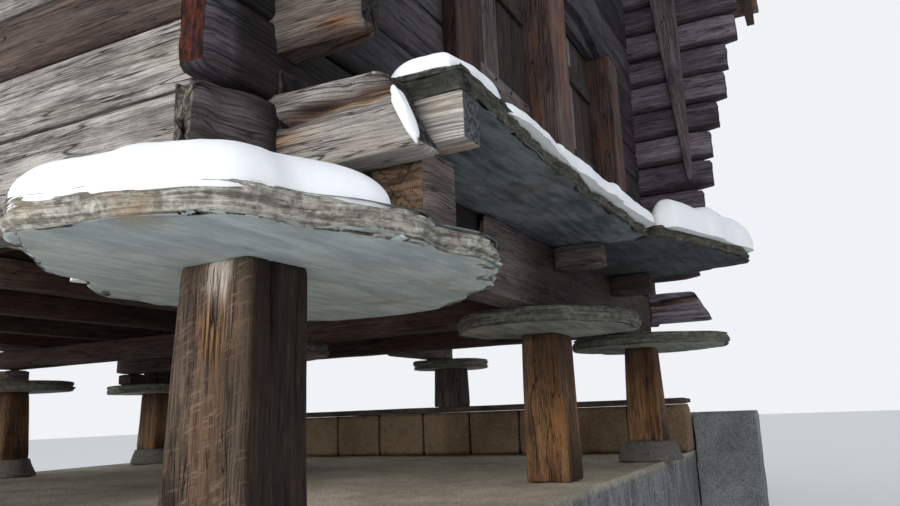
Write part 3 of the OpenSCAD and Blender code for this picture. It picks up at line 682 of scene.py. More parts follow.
GREY_LOGS = wood(
    "grey_logs", (86, 80, 76), (196, 190, 182), (140, 124, 110), (28, 25, 26), (92, 84, 82),
    warm_share=0.35, shade=(0.26, 0.19, 0.17, 1))
BROWN_LOGS = wood(
    "brown_logs", (34, 31, 36), (112, 106, 114), (78, 62, 56), (20, 6, 3), (104, 36, 15),
    end_scale=(1, 90, 16))
THRESHOLD_WOOD = wood(
    "threshold_wood", (44, 40, 42), (112, 104, 106), (84, 66, 56), (58, 52, 48), (134, 122, 110))
RIGHT_LOGS = wood(
    "right_logs", (72, 68, 80), (186, 176, 190), (142, 118, 118), (60, 50, 50), (120, 104, 100))
DOOR_WOOD = wood(
    "door_boards", (66, 58, 60), (158, 146, 144), (122, 94, 80), (84, 48, 32), (130, 90, 66),
    warm_share=0.5)
POST_WOOD = wood(
    "hewn_posts", (52, 39, 31), (154, 132, 110), (134, 90, 58), (120, 86, 62), (160, 124, 96),
    distance=0.008, strokes=0.8, shade=(0.14, 0.11, 0.10, 1))
FRONT_POST_WOOD = wood(
    "front_posts", (70, 50, 34), (162, 122, 84), (160, 104, 58), (120, 86, 62), (160, 124, 96),
    warm_share=0.6, distance=0.006, shade=(0.16, 0.13, 0.12, 1))
JAMB_WOOD = wood(
    "door_posts", (58, 46, 44), (150, 128, 120), (150, 102, 76), (84, 48, 32), (130, 90, 66),
    warm_share=0.8)
CLAMP_WOOD = wood(
    "head_clamps", (62, 54, 56), (138, 124, 128), (112, 88, 84), (60, 50, 50), (120, 104, 100),
    warm_share=0.5)
BEAM_WOOD = wood(
    "beams", (66, 58, 58), (138, 124, 118), (112, 86, 72), (84, 64, 50), (138, 112, 88),
    end_scale=(1, 9, 60))
# Painted light: a paler copy of the beam wood for the timbers under the floor
PAINTED_LIGHT_INNER_WOOD = wood(
    "floor_timber_painted_light", (112, 92, 86), (196, 170, 158), (160, 116, 96), (84, 62, 46), (150, 122, 96),
    warm_share=0.5)
ROOF_WOOD = wood(
    "roof_timber", (92, 74, 62), (168, 148, 130), (136, 104, 80), (110, 80, 60), (160, 128, 100),
    contrast=0.9, warm_share=0.5)
SAWN_WOOD = wood(
    "sawn_bracket", (128, 124, 122), (206, 198, 188), (214, 168, 128), (50, 50, 54), (104, 106, 112),
    contrast=0.5, warm_share=0.6, distance=0.002, crack=0.2, ring_depth=0.5, shade=(0.22, 0.27, 0.33, 1))
DISC_STONE = stone(
    "disc_stone", (160, 171, 171), (195, 204, 200), (112, 108, 98), (204, 200, 188),
    stain=((168, 140, 104), 0.7))
FRONT_STONE = stone(
    "front_disc_stone", (108, 112, 106), (158, 160, 148), (72, 72, 65), (134, 132, 121),
    moss=((92, 92, 74), 0.5), stain=((140, 124, 100), 0.4))
LANDING_STONE = stone(
    "landing_stone", (64, 72, 76), (120, 127, 130), (48, 49, 43), (118, 115, 102),
    moss=((56, 58, 45), 0.7), stain=((92, 80, 66), 0.6))
FAR_LANDING_STONE = stone(
    "far_landing_stone", (40, 44, 48), (78, 84, 88), (50, 50, 44), (116, 112, 98),
    moss=((66, 66, 50), 0.7), stain=((70, 60, 50), 0.6))
DIRT = stone(
    "landing_dirt", (42, 44, 38), (82, 84, 70), (38, 40, 32), (90, 90, 72), moss=((58, 62, 40), 0.7))
ROOF_STONE = stone(
    "roof_stone", (98, 100, 100), (146, 146, 140), (80, 78, 74), (140, 136, 126),
    moss=((108, 106, 76), 0.6), stain=((150, 128, 98), 0.5))
ROUGH_CAST = rough_cast("rough_cast", (112, 116, 116), (146, 150, 150), (170, 172, 170))
# Beige top with painted light: its colours are made pale for the light it gets; then darker grey sides
PLINTH_SKIN = rough_cast(
    "plinth_skin", (166, 154, 134), (200, 188, 166), (206, 198, 182), (94, 98, 98), (132, 136, 134))
FOOT_STONE = rough_cast("stone_feet", (92, 88, 84), (126, 120, 112), (146, 140, 130))
CURB_STONE = rough_cast("curb_block", (118, 96, 74), (152, 128, 102), (168, 148, 122))
IRON = iron_finish()
SNOW = snow_finish()


LOG_TONES = (0.95, 0.0, 0.55, 0.5, 0.9, 0.4, 0.75, 0.6, 0.85, 0.5, 0.7, 1.0)
FINE_GAPS = (0.03, 0.014)
PLAIN_GAPS = (0.05, 0.03)
LOG_GAP = 0.12
END_SHRINK = -0.008
LOG = {"bevel": 0.024, "cracks": 3}
NEAR_LOGS = 3


def uneven(course):
    """Small uneven step in the length of the log heads, by course number."""
    millimetres = 22 * math.sin(math.radians(137 * course + 40)) + 12 * math.sin(math.radians(61 * course))
    return round(millimetres) / 1000


def front_head(course):
    """How far a side log stands out in front, more towards the roof."""
    return 0.29 + 0.068 * course + uneven(course)


def side_head(course):
    """How far a log stands out at the sides or the rear."""
    return 0.25 + uneven(course + 3) + 0.008 * course


def side_tone_and_shade(course):
    """Tone of a side log, with painted shade: the sill's front end over its tongue and the heads are shaded,
    the undersides of the heads nearly black.
    """
    full = LOG_TONES[course % len(LOG_TONES)]
    head = full * (0.38 if course < 2 else 0.7)
    low = Z_SIDE + course * COURSE + 0.05

    def tone(points):
        ahead = ramp(points[:, 1], Y_FRONT + LOG_W, Y_FRONT + LOG_W - 0.1)
        under = ramp(points[:, 2], low, low - 0.02)
        return full * (1 - ahead) + (0 if course < 0 else ahead * (head * (1 - under) + 0.04 * under))

    return tone


def lip(y):
    """Height of the rotten furrow along the tongue."""
    return 1.315 + 0.12 * np.clip(-0.22 - y, 0, 1)


def furrow(along, place, normal):
    """The rotten furrow cut into the left face of the tongue."""
    wobble = 0.010 * noise(along[..., None] * (1, 0, 0), (16, 1, 1), 7)
    ridge = bell(place[..., 1], lip(along) + wobble, 0.010 + 0.03 * ramp(along, -0.1, -0.6))
    return -0.055 * ridge * ramp(along, -0.02, -0.17) * (normal[:, 0] < -0.5)


def furrow_rot(points):
    """Where the tongue is brown with rot: in and just under the furrow."""
    y, z = points[:, 1], points[:, 2]
    near = bell(z, lip(y) - 0.014, 0.022) * ramp(y, -0.1, -0.22)
    return np.clip(near + 0.8 * bell(z, 1.25, 0.04) * bell(y, -0.14, 0.12), 0, 1)


def tongue_painted_shade(points):
    """Painted shade on the tongue: a nearly black shadow in the furrow and where it comes out from under the
    wall.
    """
    y, z = points[:, 1], points[:, 2]
    furrow_shadow = bell(z, lip(y) + 0.01, 0.016) * ramp(y, -0.12, -0.27)
    top = ramp(z, 1.33, 1.36) * ramp(y, -0.38, -0.26)
    return np.clip(0.95 - 0.9 * furrow_shadow - 0.45 * top, 0.05, 1)


def head_rot(points):
    """Where the lowest side head is brown with rot: its near lower corner."""
    return bell(points[:, 2], 1.585, 0.03) * bell(points[:, 1], -0.37, 0.07)


def hollow_head(along, place, normal):
    """The worn underside of the lowest side head."""
    lumps = 1 + 0.5 * noise(np.concatenate((along[..., None], place), -1), (12, 12, 12), 15)
    worn = ramp(along, Y_FRONT + 0.1, Y_FRONT - 0.05) * ramp(place[..., 1], 1.60, 1.52)
    return -0.035 * worn * lumps * (normal[:, 1] < 0.2)


def worn_end(along, place, normal):
    """The worn head of the threshold log at the near corner: its underside is eaten away."""
    ahead = ramp(along, -0.04, -0.24)
    lumps = noise(np.concatenate((along[..., None], place), -1), (13, 13, 13), 25)
    below = 0.07 * ahead ** 0.7 * (1 + 0.4 * lumps) * np.clip(-normal[:, 1], 0, 1) ** 2
    front = 0.025 * ahead ** 2.2 + 0.016 * np.clip(lumps, -0.4, 1) * (ahead > 0)
    top = 0.02 * ahead ** 2 * np.clip(normal[:, 1], 0, 1)
    return -(below + front * np.clip(-normal[:, 0], 0, 1) ** 2 + top)


def corner_shade(points):
    """Painted shade on the front logs: dark between the heads of the near corner, lit at the ends of the
    corner heads, paler beside the doors.
    """
    end = ramp(points[:, 0], -0.2, -0.23) * (points[:, 2] < 1.9)
    return 0.14 + 0.56 * end + 0.7 * ramp(points[:, 0], 0.35, 0.85)


def side_wall(name, x, more, material, slot, near, seed):
    """One side wall: sill log with its tongue, then eleven logs with heads in front and behind.

    The front heads are longer by more, and the lowest logs have a fine skin between the places of near.
    """
    piece = Piece()
    for course in range(-1, COURSES):
        fine = near if course < NEAR_LOGS else None
        z, height = (Z_SILL, Z_SIDE - Z_SILL) if course < 0 else (Z_SIDE + course * COURSE, COURSE)
        front = Y_FRONT if course < 0 else Y_FRONT - front_head(course) - more
        rear = Y_REAR + side_head(max(course, 0))
        lowest = {"carve": hollow_head, "rot": head_rot} if fine and course == 0 else {}
        timber(
            piece, 1, (front, rear, LOG_GAP, fine, 0.024), (x, z + INSET), (LOG_W, height - 2 * INSET),
            seed + course, gaps=FINE_GAPS if fine else PLAIN_GAPS, ends=(END_SHRINK, END_SHRINK),
            tone=side_tone_and_shade(course), **lowest, **LOG)
    timber(
        piece, 1, (Y_FRONT - 0.44, Y_FRONT + 0.05, 0.012), (x + INSET, Z_SILL + INSET),
        (LOG_W - 2 * INSET, 0.274), seed + 30, bevel=0.012, gaps=(0.012, 0.007), cracks=6, rough=1.6,
        tone=tongue_painted_shade, slant=(0.5, 0), crack_depth=0.016, carve=furrow, rot=furrow_rot)
    piece.build(name, material, slot)


def cross_logs(piece, y, rows, x_low, x_high, seed, heads, near=None, tone=None):
    """Logs of a front or rear wall, one for each course number in rows, with heads at the ends or not."""
    for course in rows:
        fine = near if course < NEAR_LOGS else None
        start, end = x_low - heads[0] * side_head(course), x_high + heads[1] * side_head(course + 2)
        timber(
            piece, 0, (start, end, LOG_GAP, fine, 0.022), (y, Z_FRONT + course * COURSE + INSET),
            (LOG_W, COURSE - 2 * INSET), seed + course, gaps=FINE_GAPS if fine else PLAIN_GAPS,
            ends=[END_SHRINK * head for head in heads], tone=tone, **LOG)


def bottom_log(piece, y, seed, near=None, carve=None, tone=None):
    """The lowest log of a front or rear wall."""
    timber(
        piece, 0, (X_LEFT - side_head(7), X_RIGHT + side_head(6), LOG_GAP, near, 0.022), (y, Z_SILL + INSET),
        (LOG_W, Z_FRONT - Z_SILL - 2 * INSET), seed, bevel=0.03, gaps=FINE_GAPS if near else PLAIN_GAPS,
        cracks=3, ends=(-0.012, -0.01), carve=carve, tone=tone)


def roof_z(x):
    """Height of the underside of the rafters at a place across the building."""
    return Z_EAVES + min(x - X_LEFT, X_RIGHT - x) * math.tan(PITCH)


def gable(piece, y, seed):
    """Triangle of logs whose ends follow the slope of the roof."""
    lean = 1 / math.tan(PITCH)
    top = roof_z(X_MID) + RAFTER_V
    course = COURSES
    while (middle := Z_FRONT + (course + 0.5) * COURSE) < top - 0.03:
        inset = 0.01 + max(0.0, (middle - Z_EAVES - RAFTER_V) * lean)
        height = min(COURSE, 2 * (top - middle)) - 2 * INSET
        timber(
            piece, 0, (X_LEFT + inset, X_RIGHT - inset, LOG_GAP), (y, Z_FRONT + course * COURSE + INSET),
            (LOG_W, height), seed + course, gaps=(0.06, 0.05),
            slant=(lean, -lean) if middle > Z_EAVES else None)
        course += 1


def walls():
    side_wall("left_wall", X_LEFT, 0, GREY_LOGS, "grey_logs", (-1.4, 1.2), 100)
    side_wall("right_wall", X_INNER[1], 0.13, RIGHT_LOGS, "brown_logs", None, 200)
    rear = Piece()
    bottom_log(rear, Y_INNER[1], 340)
    cross_logs(rear, Y_INNER[1], range(COURSES), X_LEFT, X_RIGHT, 300, (1, 1))
    gable(rear, Y_INNER[1], 380)
    rear.build("rear_wall", GREY_LOGS, "grey_logs")
    # Painted shade on the threshold log: dark along its length, its head at the near corner left lit
    threshold_shade = tone_along(0, -0.16, -0.04, 0.95, 0.13)
    group("threshold_log", THRESHOLD_WOOD, "brown_logs", bottom_log, [
        (Y_FRONT, 440, (-0.5, 0.6), worn_end, threshold_shade)])
    beside = range(DOOR_COURSES)
    left_end, right_start = DOOR_POSTS[0][0] + 2 * INSET, sum(DOOR_POSTS[2]) - 2 * INSET
    for name, *logs in (
        ("front_wall_left", beside, X_LEFT, left_end, 400, (1, 0), (-0.5, 1.2), corner_shade),
        ("front_wall_right", beside, right_start, X_RIGHT, 500, (0, 1), (4.3, 5.2)),
        ("front_wall_over", range(DOOR_COURSES + 1, COURSES), X_LEFT, X_RIGHT, 600, (1, 1)),
    ):
        group(name, BROWN_LOGS, "brown_logs", cross_logs, [(Y_FRONT, *logs)])
    group("front_gable", BROWN_LOGS, "brown_logs", gable, [(Y_FRONT, 680)])
    paint(BROWN_LOGS, "lintel_log")


def paint(material, *nodes):
    """Gives CAD nodes whose shape is right a finish."""
    for node in nodes:
        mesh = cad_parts[node].data
        mesh.materials.clear()
        mesh.materials.append(material)
        places = np.empty(len(mesh.vertices) * 3)
        mesh.vertices.foreach_get("co", places)
        add_attribute(mesh, "grain", "FLOAT_VECTOR", places)
        add_attribute(mesh, "tone", "FLOAT", np.full(len(mesh.vertices), 0.6))


def door_frame():
    piece = Piece()
    for i, ((x, width), tone) in enumerate(zip(DOOR_POSTS, (0.25, 0.7, 0.5))):
        timber(
            piece, 2, (Z_FRONT, Z_LINTEL, 0.03), (x, Y_FRONT - JAMB_PROUD), (width, JAMB_PROUD + JAMB_IN),
            700 + i, bevel=0.012, gaps=(0.016, 0.04), cracks=4, rough=0.6, tone=tone, worn=0.0)
    piece.build("door_posts", JAMB_WOOD, "brown_logs")


NAIL_LIFTS = ((0.035, 0.02), (0.095, -0.02))
NAIL_PROFILE = ((0.009, -0.002), (0.009, 0.003), (0.006, 0.006), (0.002, 0.007))


def door(name, x, seed):
    """Boarded leaf: upright planks, ledges across them and iron nails."""
    z = Z_FRONT + DOOR_GAP
    y_plank = Y_FRONT + JAMB_IN - PLANK_T + INSET
    y_ledge = y_plank - LEDGE_T
    step = LEAF_W / PLANKS
    boards = Piece()
    for i in range(PLANKS):
        timber(
            boards, 2, (z + 2 * INSET, z + LEAF_H - 2 * INSET, 0.05), (x + i * step + 0.003, y_plank),
            (step - 0.006, PLANK_T - 0.003), seed + i, bevel=0.004, gaps=(0.016, 0.03), rough=0.35,
            worn=0.001, crack_depth=0.006)
    for i, share in enumerate(LEDGE_SHARES):
        timber(
            boards, 0, (x + 0.058, x + LEAF_W - 0.058, 0.05), (y_ledge, z + share * LEAF_H + INSET),
            (LEDGE_T, 0.126), seed + 10 + i, bevel=0.006, gaps=(0.02, 0.02), cracks=1, rough=0.35, worn=0.001,
            crack_depth=0.005)
    boards.build(name, DOOR_WOOD, "door_boards", body=name)
    nails = Piece()
    across, up = round_turn(8)
    for share in LEDGE_SHARES:
        for i in range(PLANKS):
            for lift, shift in NAIL_LIFTS:
                centre = np.array((x + (i + 0.5) * step + shift, y_ledge, z + share * LEAF_H + lift))
                nails.shell(np.stack([
                    centre + np.column_stack((radius * across, np.full(8, -out), radius * up))
                    for radius, out in NAIL_PROFILE]))
    nails.build(name + "_nails", IRON, "hinge_iron", (), name)


def doors():
    door("door_left", X_DOORS[0] + DOOR_GAP, 800)
    door("door_right", X_DOORS[1] + DOOR_GAP, 850)
    paint(IRON, "door_left_straps", "door_right_straps", "door_pintles")


def clamps():
    """Planks that clamp the log heads beside the front, wider towards the roof."""
    piece = Piece()
    for i, x in enumerate((X_INNER[0], X_INNER[1] - 0.05)):
        low = (x + INSET, Y_FRONT - 0.49)
        timber(
            piece, 2, (Z_SIDE + 3.3 * COURSE, Z_SIDE_TOP - COURSE / 2, 0.05), low, (0.046, 0.05), 900 + i,
            bevel=0.008, gaps=(0.02, 0.02), far=(low, (0.046, 0.24)), rough=0.5)
    piece.build("head_clamps", CLAMP_WOOD, "grey_logs")


POST_FOOT = (0.27, 0.286)
POST_HEAD = (0.225, 0.234)
FOOT_RINGS = (0.0, 0.015, 0.04, 0.07, 0.1, 0.13, FOOT_H - 0.004, FOOT_H)
DISC_R = 0.52
DISC_INSET = 0.0015

# How the slabs are split, for slab()
CORNER_SPLIT = {
    "levels": 22, "flake": 0.030, "ragged": 0.006, "wave": 0.002, "layer_t": 0.013, "chips": 0.010,
    "rings": (0.01, 0.025, 0.045, 0.07, 0.1, 0.14, 0.19, 0.25, 0.33, 0.43, 0.55, 0.68, 0.82, 0.95)}
DISC_SPLIT = {
    "levels": 14, "flake": 0.028, "ragged": 0.012, "wave": 0.002, "layer_t": 0.016, "chips": 0.008,
    "rings": (0.02, 0.05, 0.1, 0.2, 0.35, 0.55, 0.8, 0.96)}
LANDING_SPLIT = {
    "levels": 16, "flake": 0.022, "ragged": 0.012, "wave": 0.003, "layer_t": 0.012, "chips": 0.006,
    "rings": (0.02, 0.05, 0.09, 0.15, 0.24, 0.36, 0.5, 0.68, 0.85, 0.97)}
ROOF_SPLIT = {
    "levels": 4, "flake": 0.008, "ragged": 0.008, "wave": 0.003, "layer_t": 0.012, "rounding": 0,
    "rings": (0.06, 0.4, 0.8)}
RIDGE_SPLIT = {**ROOF_SPLIT, "flake": 0.006, "ragged": 0.006, "wave": 0.002, "rings": (0.08, 0.4, 0.8)}
DRIFT_SHAPE = {
    "levels": 3, "flake": 0.003, "ragged": 0.02, "wave": 0.001, "layer_t": 0.05, "rounding": 3,
    "rings": (0.004, 0.012, 0.025, 0.045, 0.07, 0.1, 0.14, 0.19, 0.25, 0.32, 0.42, 0.55, 0.7, 0.85, 0.96)}


def post_tone_and_shade(y, depth):
    """Tone of a post, with painted shade on its front face; the sides are paler towards the foot."""
    face = y - depth / 2

    def tone(points):
        front = ramp(points[:, 1], face + 0.016, face + 0.004)
        side = 0.95 - 0.55 * ramp(points[:, 2], 0.3, 0.7)
        return side * (1 - 0.75 * front) - 0.15 * noise(points, (4, 4, 3), 5)

    return tone


def corner_post_tone_and_shade(points):
    """Tone of the corner post: painted shade on its front, a pale head on the left side, brown below."""
    side = ramp(points[:, 0] - 0.07 * (points[:, 1] + 0.05), -0.135, -0.155)
    pale = ramp(points[:, 2], 0.60, 0.82) * bell(points[:, 1], -0.07, 0.07)
    return 0.06 + side * (0.4 + 1.35 * pale + 0.14 * noise(points, (7, 7, 4), 8))


def corner_streaks(points):
    """Where the corner post is rusty brown: streaks below its pale head."""
    fingers = np.clip(0.3 + 1.6 * noise(points * (0, 1, 1), (1, 34, 2.5), 19), 0, 1)
    band = bell(points[:, 2], 0.66, 0.085) * bell(points[:, 1], -0.06, 0.07)
    return np.clip(1.5 * (points[:, 0] < -0.14) * fingers * band, 0, 0.9)


def post(
    piece, x, y, span, foot, head, seed, gap, fine, cracks=6, turn=0.0, shift=0.0, rough=1.2, tone=None,
    rot=None,
):
    """A hewn post between two heights, with its sizes across at foot and head."""
    cos, sin = math.cos(turn), math.sin(turn)

    def move(points):
        u, v, z = np.moveaxis(points, -1, 0)
        return np.stack((x + cos * u + sin * v, y - sin * u + cos * v, z), -1)

    low = (-foot[0] / 2, shift - foot[1] / 2)
    timber(
        piece, 2, (span[0] + INSET, span[1] - INSET, gap), low, foot, seed, bevel=0.024, gaps=(fine, fine),
        cracks=cracks, rough=rough, tone=tone or post_tone_and_shade(y, foot[1]),
        far=((-head[0] / 2, -head[1] / 2), head), worn=0.004, move=move, crack_depth=0.009, rot=rot)


def posts():
    group("corner_post", POST_WOOD, "hewn_posts", post, [
        (-0.036, -0.046, (0, Z_DISC), (0.294, 0.354), (0.262, 0.286), 21, 0.009, 0.007, 14, math.radians(4))],
        shift=0.042, rough=1.5, tone=corner_post_tone_and_shade, rot=corner_streaks)
    rear_span = (FOOT_H, Z_DISC - REAR_DROP)
    for name, material, places in (
        ("front_posts", FRONT_POST_WOOD, (
            (X_POSTS[1], 0, (0, Z_DISC), POST_FOOT, (0.345, 0.234), 22, 0.015, 0.012),
            (X_POSTS[2], Y_RIGHT_POST, (FOOT_H, Z_DISC), POST_FOOT, (0.27, 0.234), 23, 0.02, 0.016))),
        ("middle_posts", BEAM_WOOD, (
            (X_POSTS[0], Y_MIDDLE, (0, Z_DISC), POST_FOOT, POST_HEAD, 24, 0.04, 0.03),
            (X_POSTS[1], Y_MIDDLE, (0, Z_DISC), POST_FOOT, POST_HEAD, 25, 0.04, 0.03),
            (*CURB_POST, (Z_CURB, Z_DISC), (0.235, 0.324), (0.22, 0.31), 26, 0.03, 0.03))),
        ("rear_posts", FRONT_POST_WOOD, [
            (x, Y_BACK, rear_span, POST_FOOT, POST_HEAD, 27 + i, 0.04, 0.03) for i, x in enumerate(X_POSTS)]),
    ):
        group(name, material, "hewn_posts", post, places)
    feet = Piece()
    across, along = round_turn(40)
    for i, (x, y) in enumerate([(x, Y_BACK) for x in X_POSTS] + [(X_POSTS[2], Y_RIGHT_POST)]):
        rows = []
        for h in FOOT_RINGS:
            radius = FOOT_R * (1 - 0.24 * h / FOOT_H - (0.04 if h in (0.0, FOOT_H) else 0))
            ring = np.column_stack((radius * across, radius * along, np.full(40, h)))
            ring[:, :2] *= 1 - 0.04 * (1 + fractal(ring, 9, 3, 60 + i)[:, None])
            rows.append(ring + (x, y, 0))
        feet.shell(np.stack(rows))
    feet.build("stone_feet", FOOT_STONE, "rough_cast")


def corner_outline():
    """Outline of the corner disc: a smooth run through its reach at every 30 degrees."""
    degrees = np.arange(0, 360, 3.0)
    sector = (degrees // 30).astype(int)
    blend = (1 - np.cos(math.pi * (degrees / 30 - sector))) / 2
    reach = np.array(CORNER_REACH)
    share = reach[sector] * (1 - blend) + reach[(sector + 1) % len(reach)] * blend
    share += 0.015 * np.sin(np.radians(9 * degrees)) + 0.01 * np.sin(np.radians(17 * degrees))
    turn = np.radians(degrees)
    return CORNER_DISC + CORNER_R * share[:, None] * np.stack((np.cos(turn), np.sin(turn)), -1)


def disc_outline(x, y, radius, number, stretch=1.0):
    """Outline of one of the other discs, as in the CAD source."""
    turn = np.arange(0, 360, 10.0)
    waves = ((0.035, 2, 70), (0.028, 3, 131), (0.018, 7, 37))
    wobble = 1 + sum(size * np.sin(np.radians(n * turn + shift * number)) for size, n, shift in waves)
    turn = np.radians(turn)
    return np.stack((x + stretch * radius * wobble * np.cos(turn), y + radius * wobble * np.sin(turn)), -1)


def disc(piece, z, gap, *place):
    """One of the other discs, whose place is the arguments of its outline."""
    slab(piece, disc_outline(*place), z + DISC_INSET, z + DISC_T, gap, None, 30 + place[3], **DISC_SPLIT)


def discs():
    group("corner_disc", DISC_STONE, "disc_stone", slab, [
        (corner_outline(), Z_DISC + DISC_INSET, Z_PAD, 0.012, None, 5)], **CORNER_SPLIT)
    for name, places in (
        ("front_discs", (
            (Z_DISC, 0.025, X_POSTS[1] - 0.24, -0.09, 0.54, 2),
            (Z_DISC, 0.025, X_POSTS[2] + 0.09, Y_RIGHT_POST - 0.05, 0.60, 3, 1.08))),
        ("middle_discs", (
            (Z_DISC, 0.04, X_POSTS[0], Y_MIDDLE, DISC_R, 4), (Z_DISC, 0.04, X_POSTS[1], Y_MIDDLE, DISC_R, 5),
            (Z_DISC, 0.04, *CURB_POST, 0.416, 6))),
        ("rear_discs", [(Z_DISC - REAR_DROP, 0.04, x, Y_BACK, DISC_R, 7 + i) for i, x in enumerate(X_POSTS)]),
    ):
        group(name, FRONT_STONE, "disc_stone", disc, places)


BEAM_H = 0.171
# The landing beam is paler towards its near end; under the floor, painted light and shade: pale near the open
# left side, shaded dark away from it
BEAM_TONE = tone_along(0, 2.1, 1.7, 0.25, 0.75)
INNER_LIGHT_AND_SHADE = tone_along(0, 0.3, 0.8, 1.3, 0.1)
LANDING_BEAM = (DOOR_POSTS[0][0] + 0.272, X_POSTS[2] + 0.448)
BRACKET = (0.113, 0.148)


def landing_slabs():
    """The two slabs of the landing, and the soil on the near corner."""
    x_0, x_1 = X_LANDING, X_LANDING + SLAB_LEFT_L
    y_0 = Y_FRONT - 0.56
    outline = [(x_0 + share * SLAB_LEFT_L, y) for share, y in (
        (0, Y_FRONT), (0, y_0 - 0.005), (0.05, y_0 - 0.02), (0.2, y_0), (0.6, y_0 + 0.01))]
    outline += [(x_1 - 0.06, y_0 - 0.03), (x_1, y_0 + 0.06), (x_1, Y_FRONT)]

    def soil(points):
        return ramp(points[:, 0], x_0 + 0.1, x_0 + 0.04) * (points[:, 2] > Z_SLAB + 0.01)

    dirt = [(x_0 + u, y_0 + v) for u, v in ((0.004, 0.01), (0.004, 0.34), (0.3, 0.3), (0.40, 0.01))]
    spine = ((x_0 + 0.12, y_0 + 0.12), (x_0 + 0.25, y_0 + 0.11))
    group("landing_dirt", DIRT, "landing_stone", drift, [
        (dirt, Z_LANDING, 0.055, 0.016, spine, 13, 0.8)], (), rough=0.35,
        rot=lambda points: np.ones(len(points)))
    spine = ((x_0 + 0.3, Y_FRONT - 0.3), (x_1 - 0.3, Y_FRONT - 0.3))
    group("landing_slab_left", LANDING_STONE, "landing_stone", slab, [
        (outline, Z_SLAB + FINE_INSET, Z_LANDING, 0.014, spine, 11)], rot=soil, **LANDING_SPLIT)
    y_tip = Y_FRONT - 1.01
    outline = [(x_1 + share * SLAB_RIGHT_L, y) for share, y in (
        (0, Y_FRONT), (0, y_0 - 0.1), (0.12, y_0 - 0.18), (0.5, y_tip + 0.02), (0.66, y_tip),
        (0.74, y_0 - 0.06), (0.75, Y_FRONT - 0.18), (0.82, Y_FRONT))]
    spine = ((x_1 + 0.35, Y_FRONT - 0.4), (x_1 + 1.0, Y_FRONT - 0.5))
    group("landing_slab_right", FAR_LANDING_STONE, "landing_stone", slab, [
        (outline, Z_SLAB + FINE_INSET, Z_LANDING, 0.016, spine, 12)], **LANDING_SPLIT)


def landing():
    landing_slabs()
    beam = Piece()
    timber(
        beam, 0, (*LANDING_BEAM, 0.04), (Y_FRONT + INSET, Z_PAD + INSET), (LOG_W - 2 * INSET, BEAM_H), 61,
        gaps=(0.04, 0.03), tone=BEAM_TONE)
    timber(
        beam, 0, (*LANDING_BEAM, 0.03), (Y_FRONT - 0.048, Z_PAD + INSET),
        (0.06, Z_SLAB - Z_PAD - 2 * INSET), 62, bevel=0.012, gaps=(0.03, 0.018), cracks=6, tone=BEAM_TONE)
    beam.build("landing_beam", BEAM_WOOD, "beams")
    z = Z_BRACKET + FINE_INSET
    # Painted shade: the bracket is tinted blue-grey by its shade colour, except at its near end, which is
    # left lit
    group("landing_bracket_first", SAWN_WOOD, "beams", timber, [
        (1, (Y_FRONT - 0.563, Y_FRONT - INSET, 0.03), (X_LANDING + FINE_INSET, z), BRACKET, 63)],
        ["landing_brackets"], bevel=0.004, gaps=(0.02, 0.02), cracks=1, rough=0.35,
        tone=tone_along(1, -0.52, -0.66, 0, 1), worn=0.002, crack_depth=0.004)
    others = Piece()
    timber(
        others, 0, (X_LANDING + INSET, X_LANDING + 0.208, 0.02), (Y_FRONT - 0.443, Z_PAD + FINE_INSET),
        (0.206, 0.238), 64, bevel=0.012, gaps=(0.02, 0.02), cracks=3, rough=0.8, tone=1.0)
    for i, x in enumerate((SLAB_LEFT_L - 0.115, SLAB_LEFT_L + 0.6 * SLAB_RIGHT_L)):
        timber(
            others, 1, (Y_FRONT - 0.328, Y_FRONT - 0.052, 0.04), (X_LANDING + x + FINE_INSET, z), BRACKET,
            65 + i, bevel=0.01, gaps=(0.03, 0.03))
    others.build("landing_brackets", BEAM_WOOD, "beams")


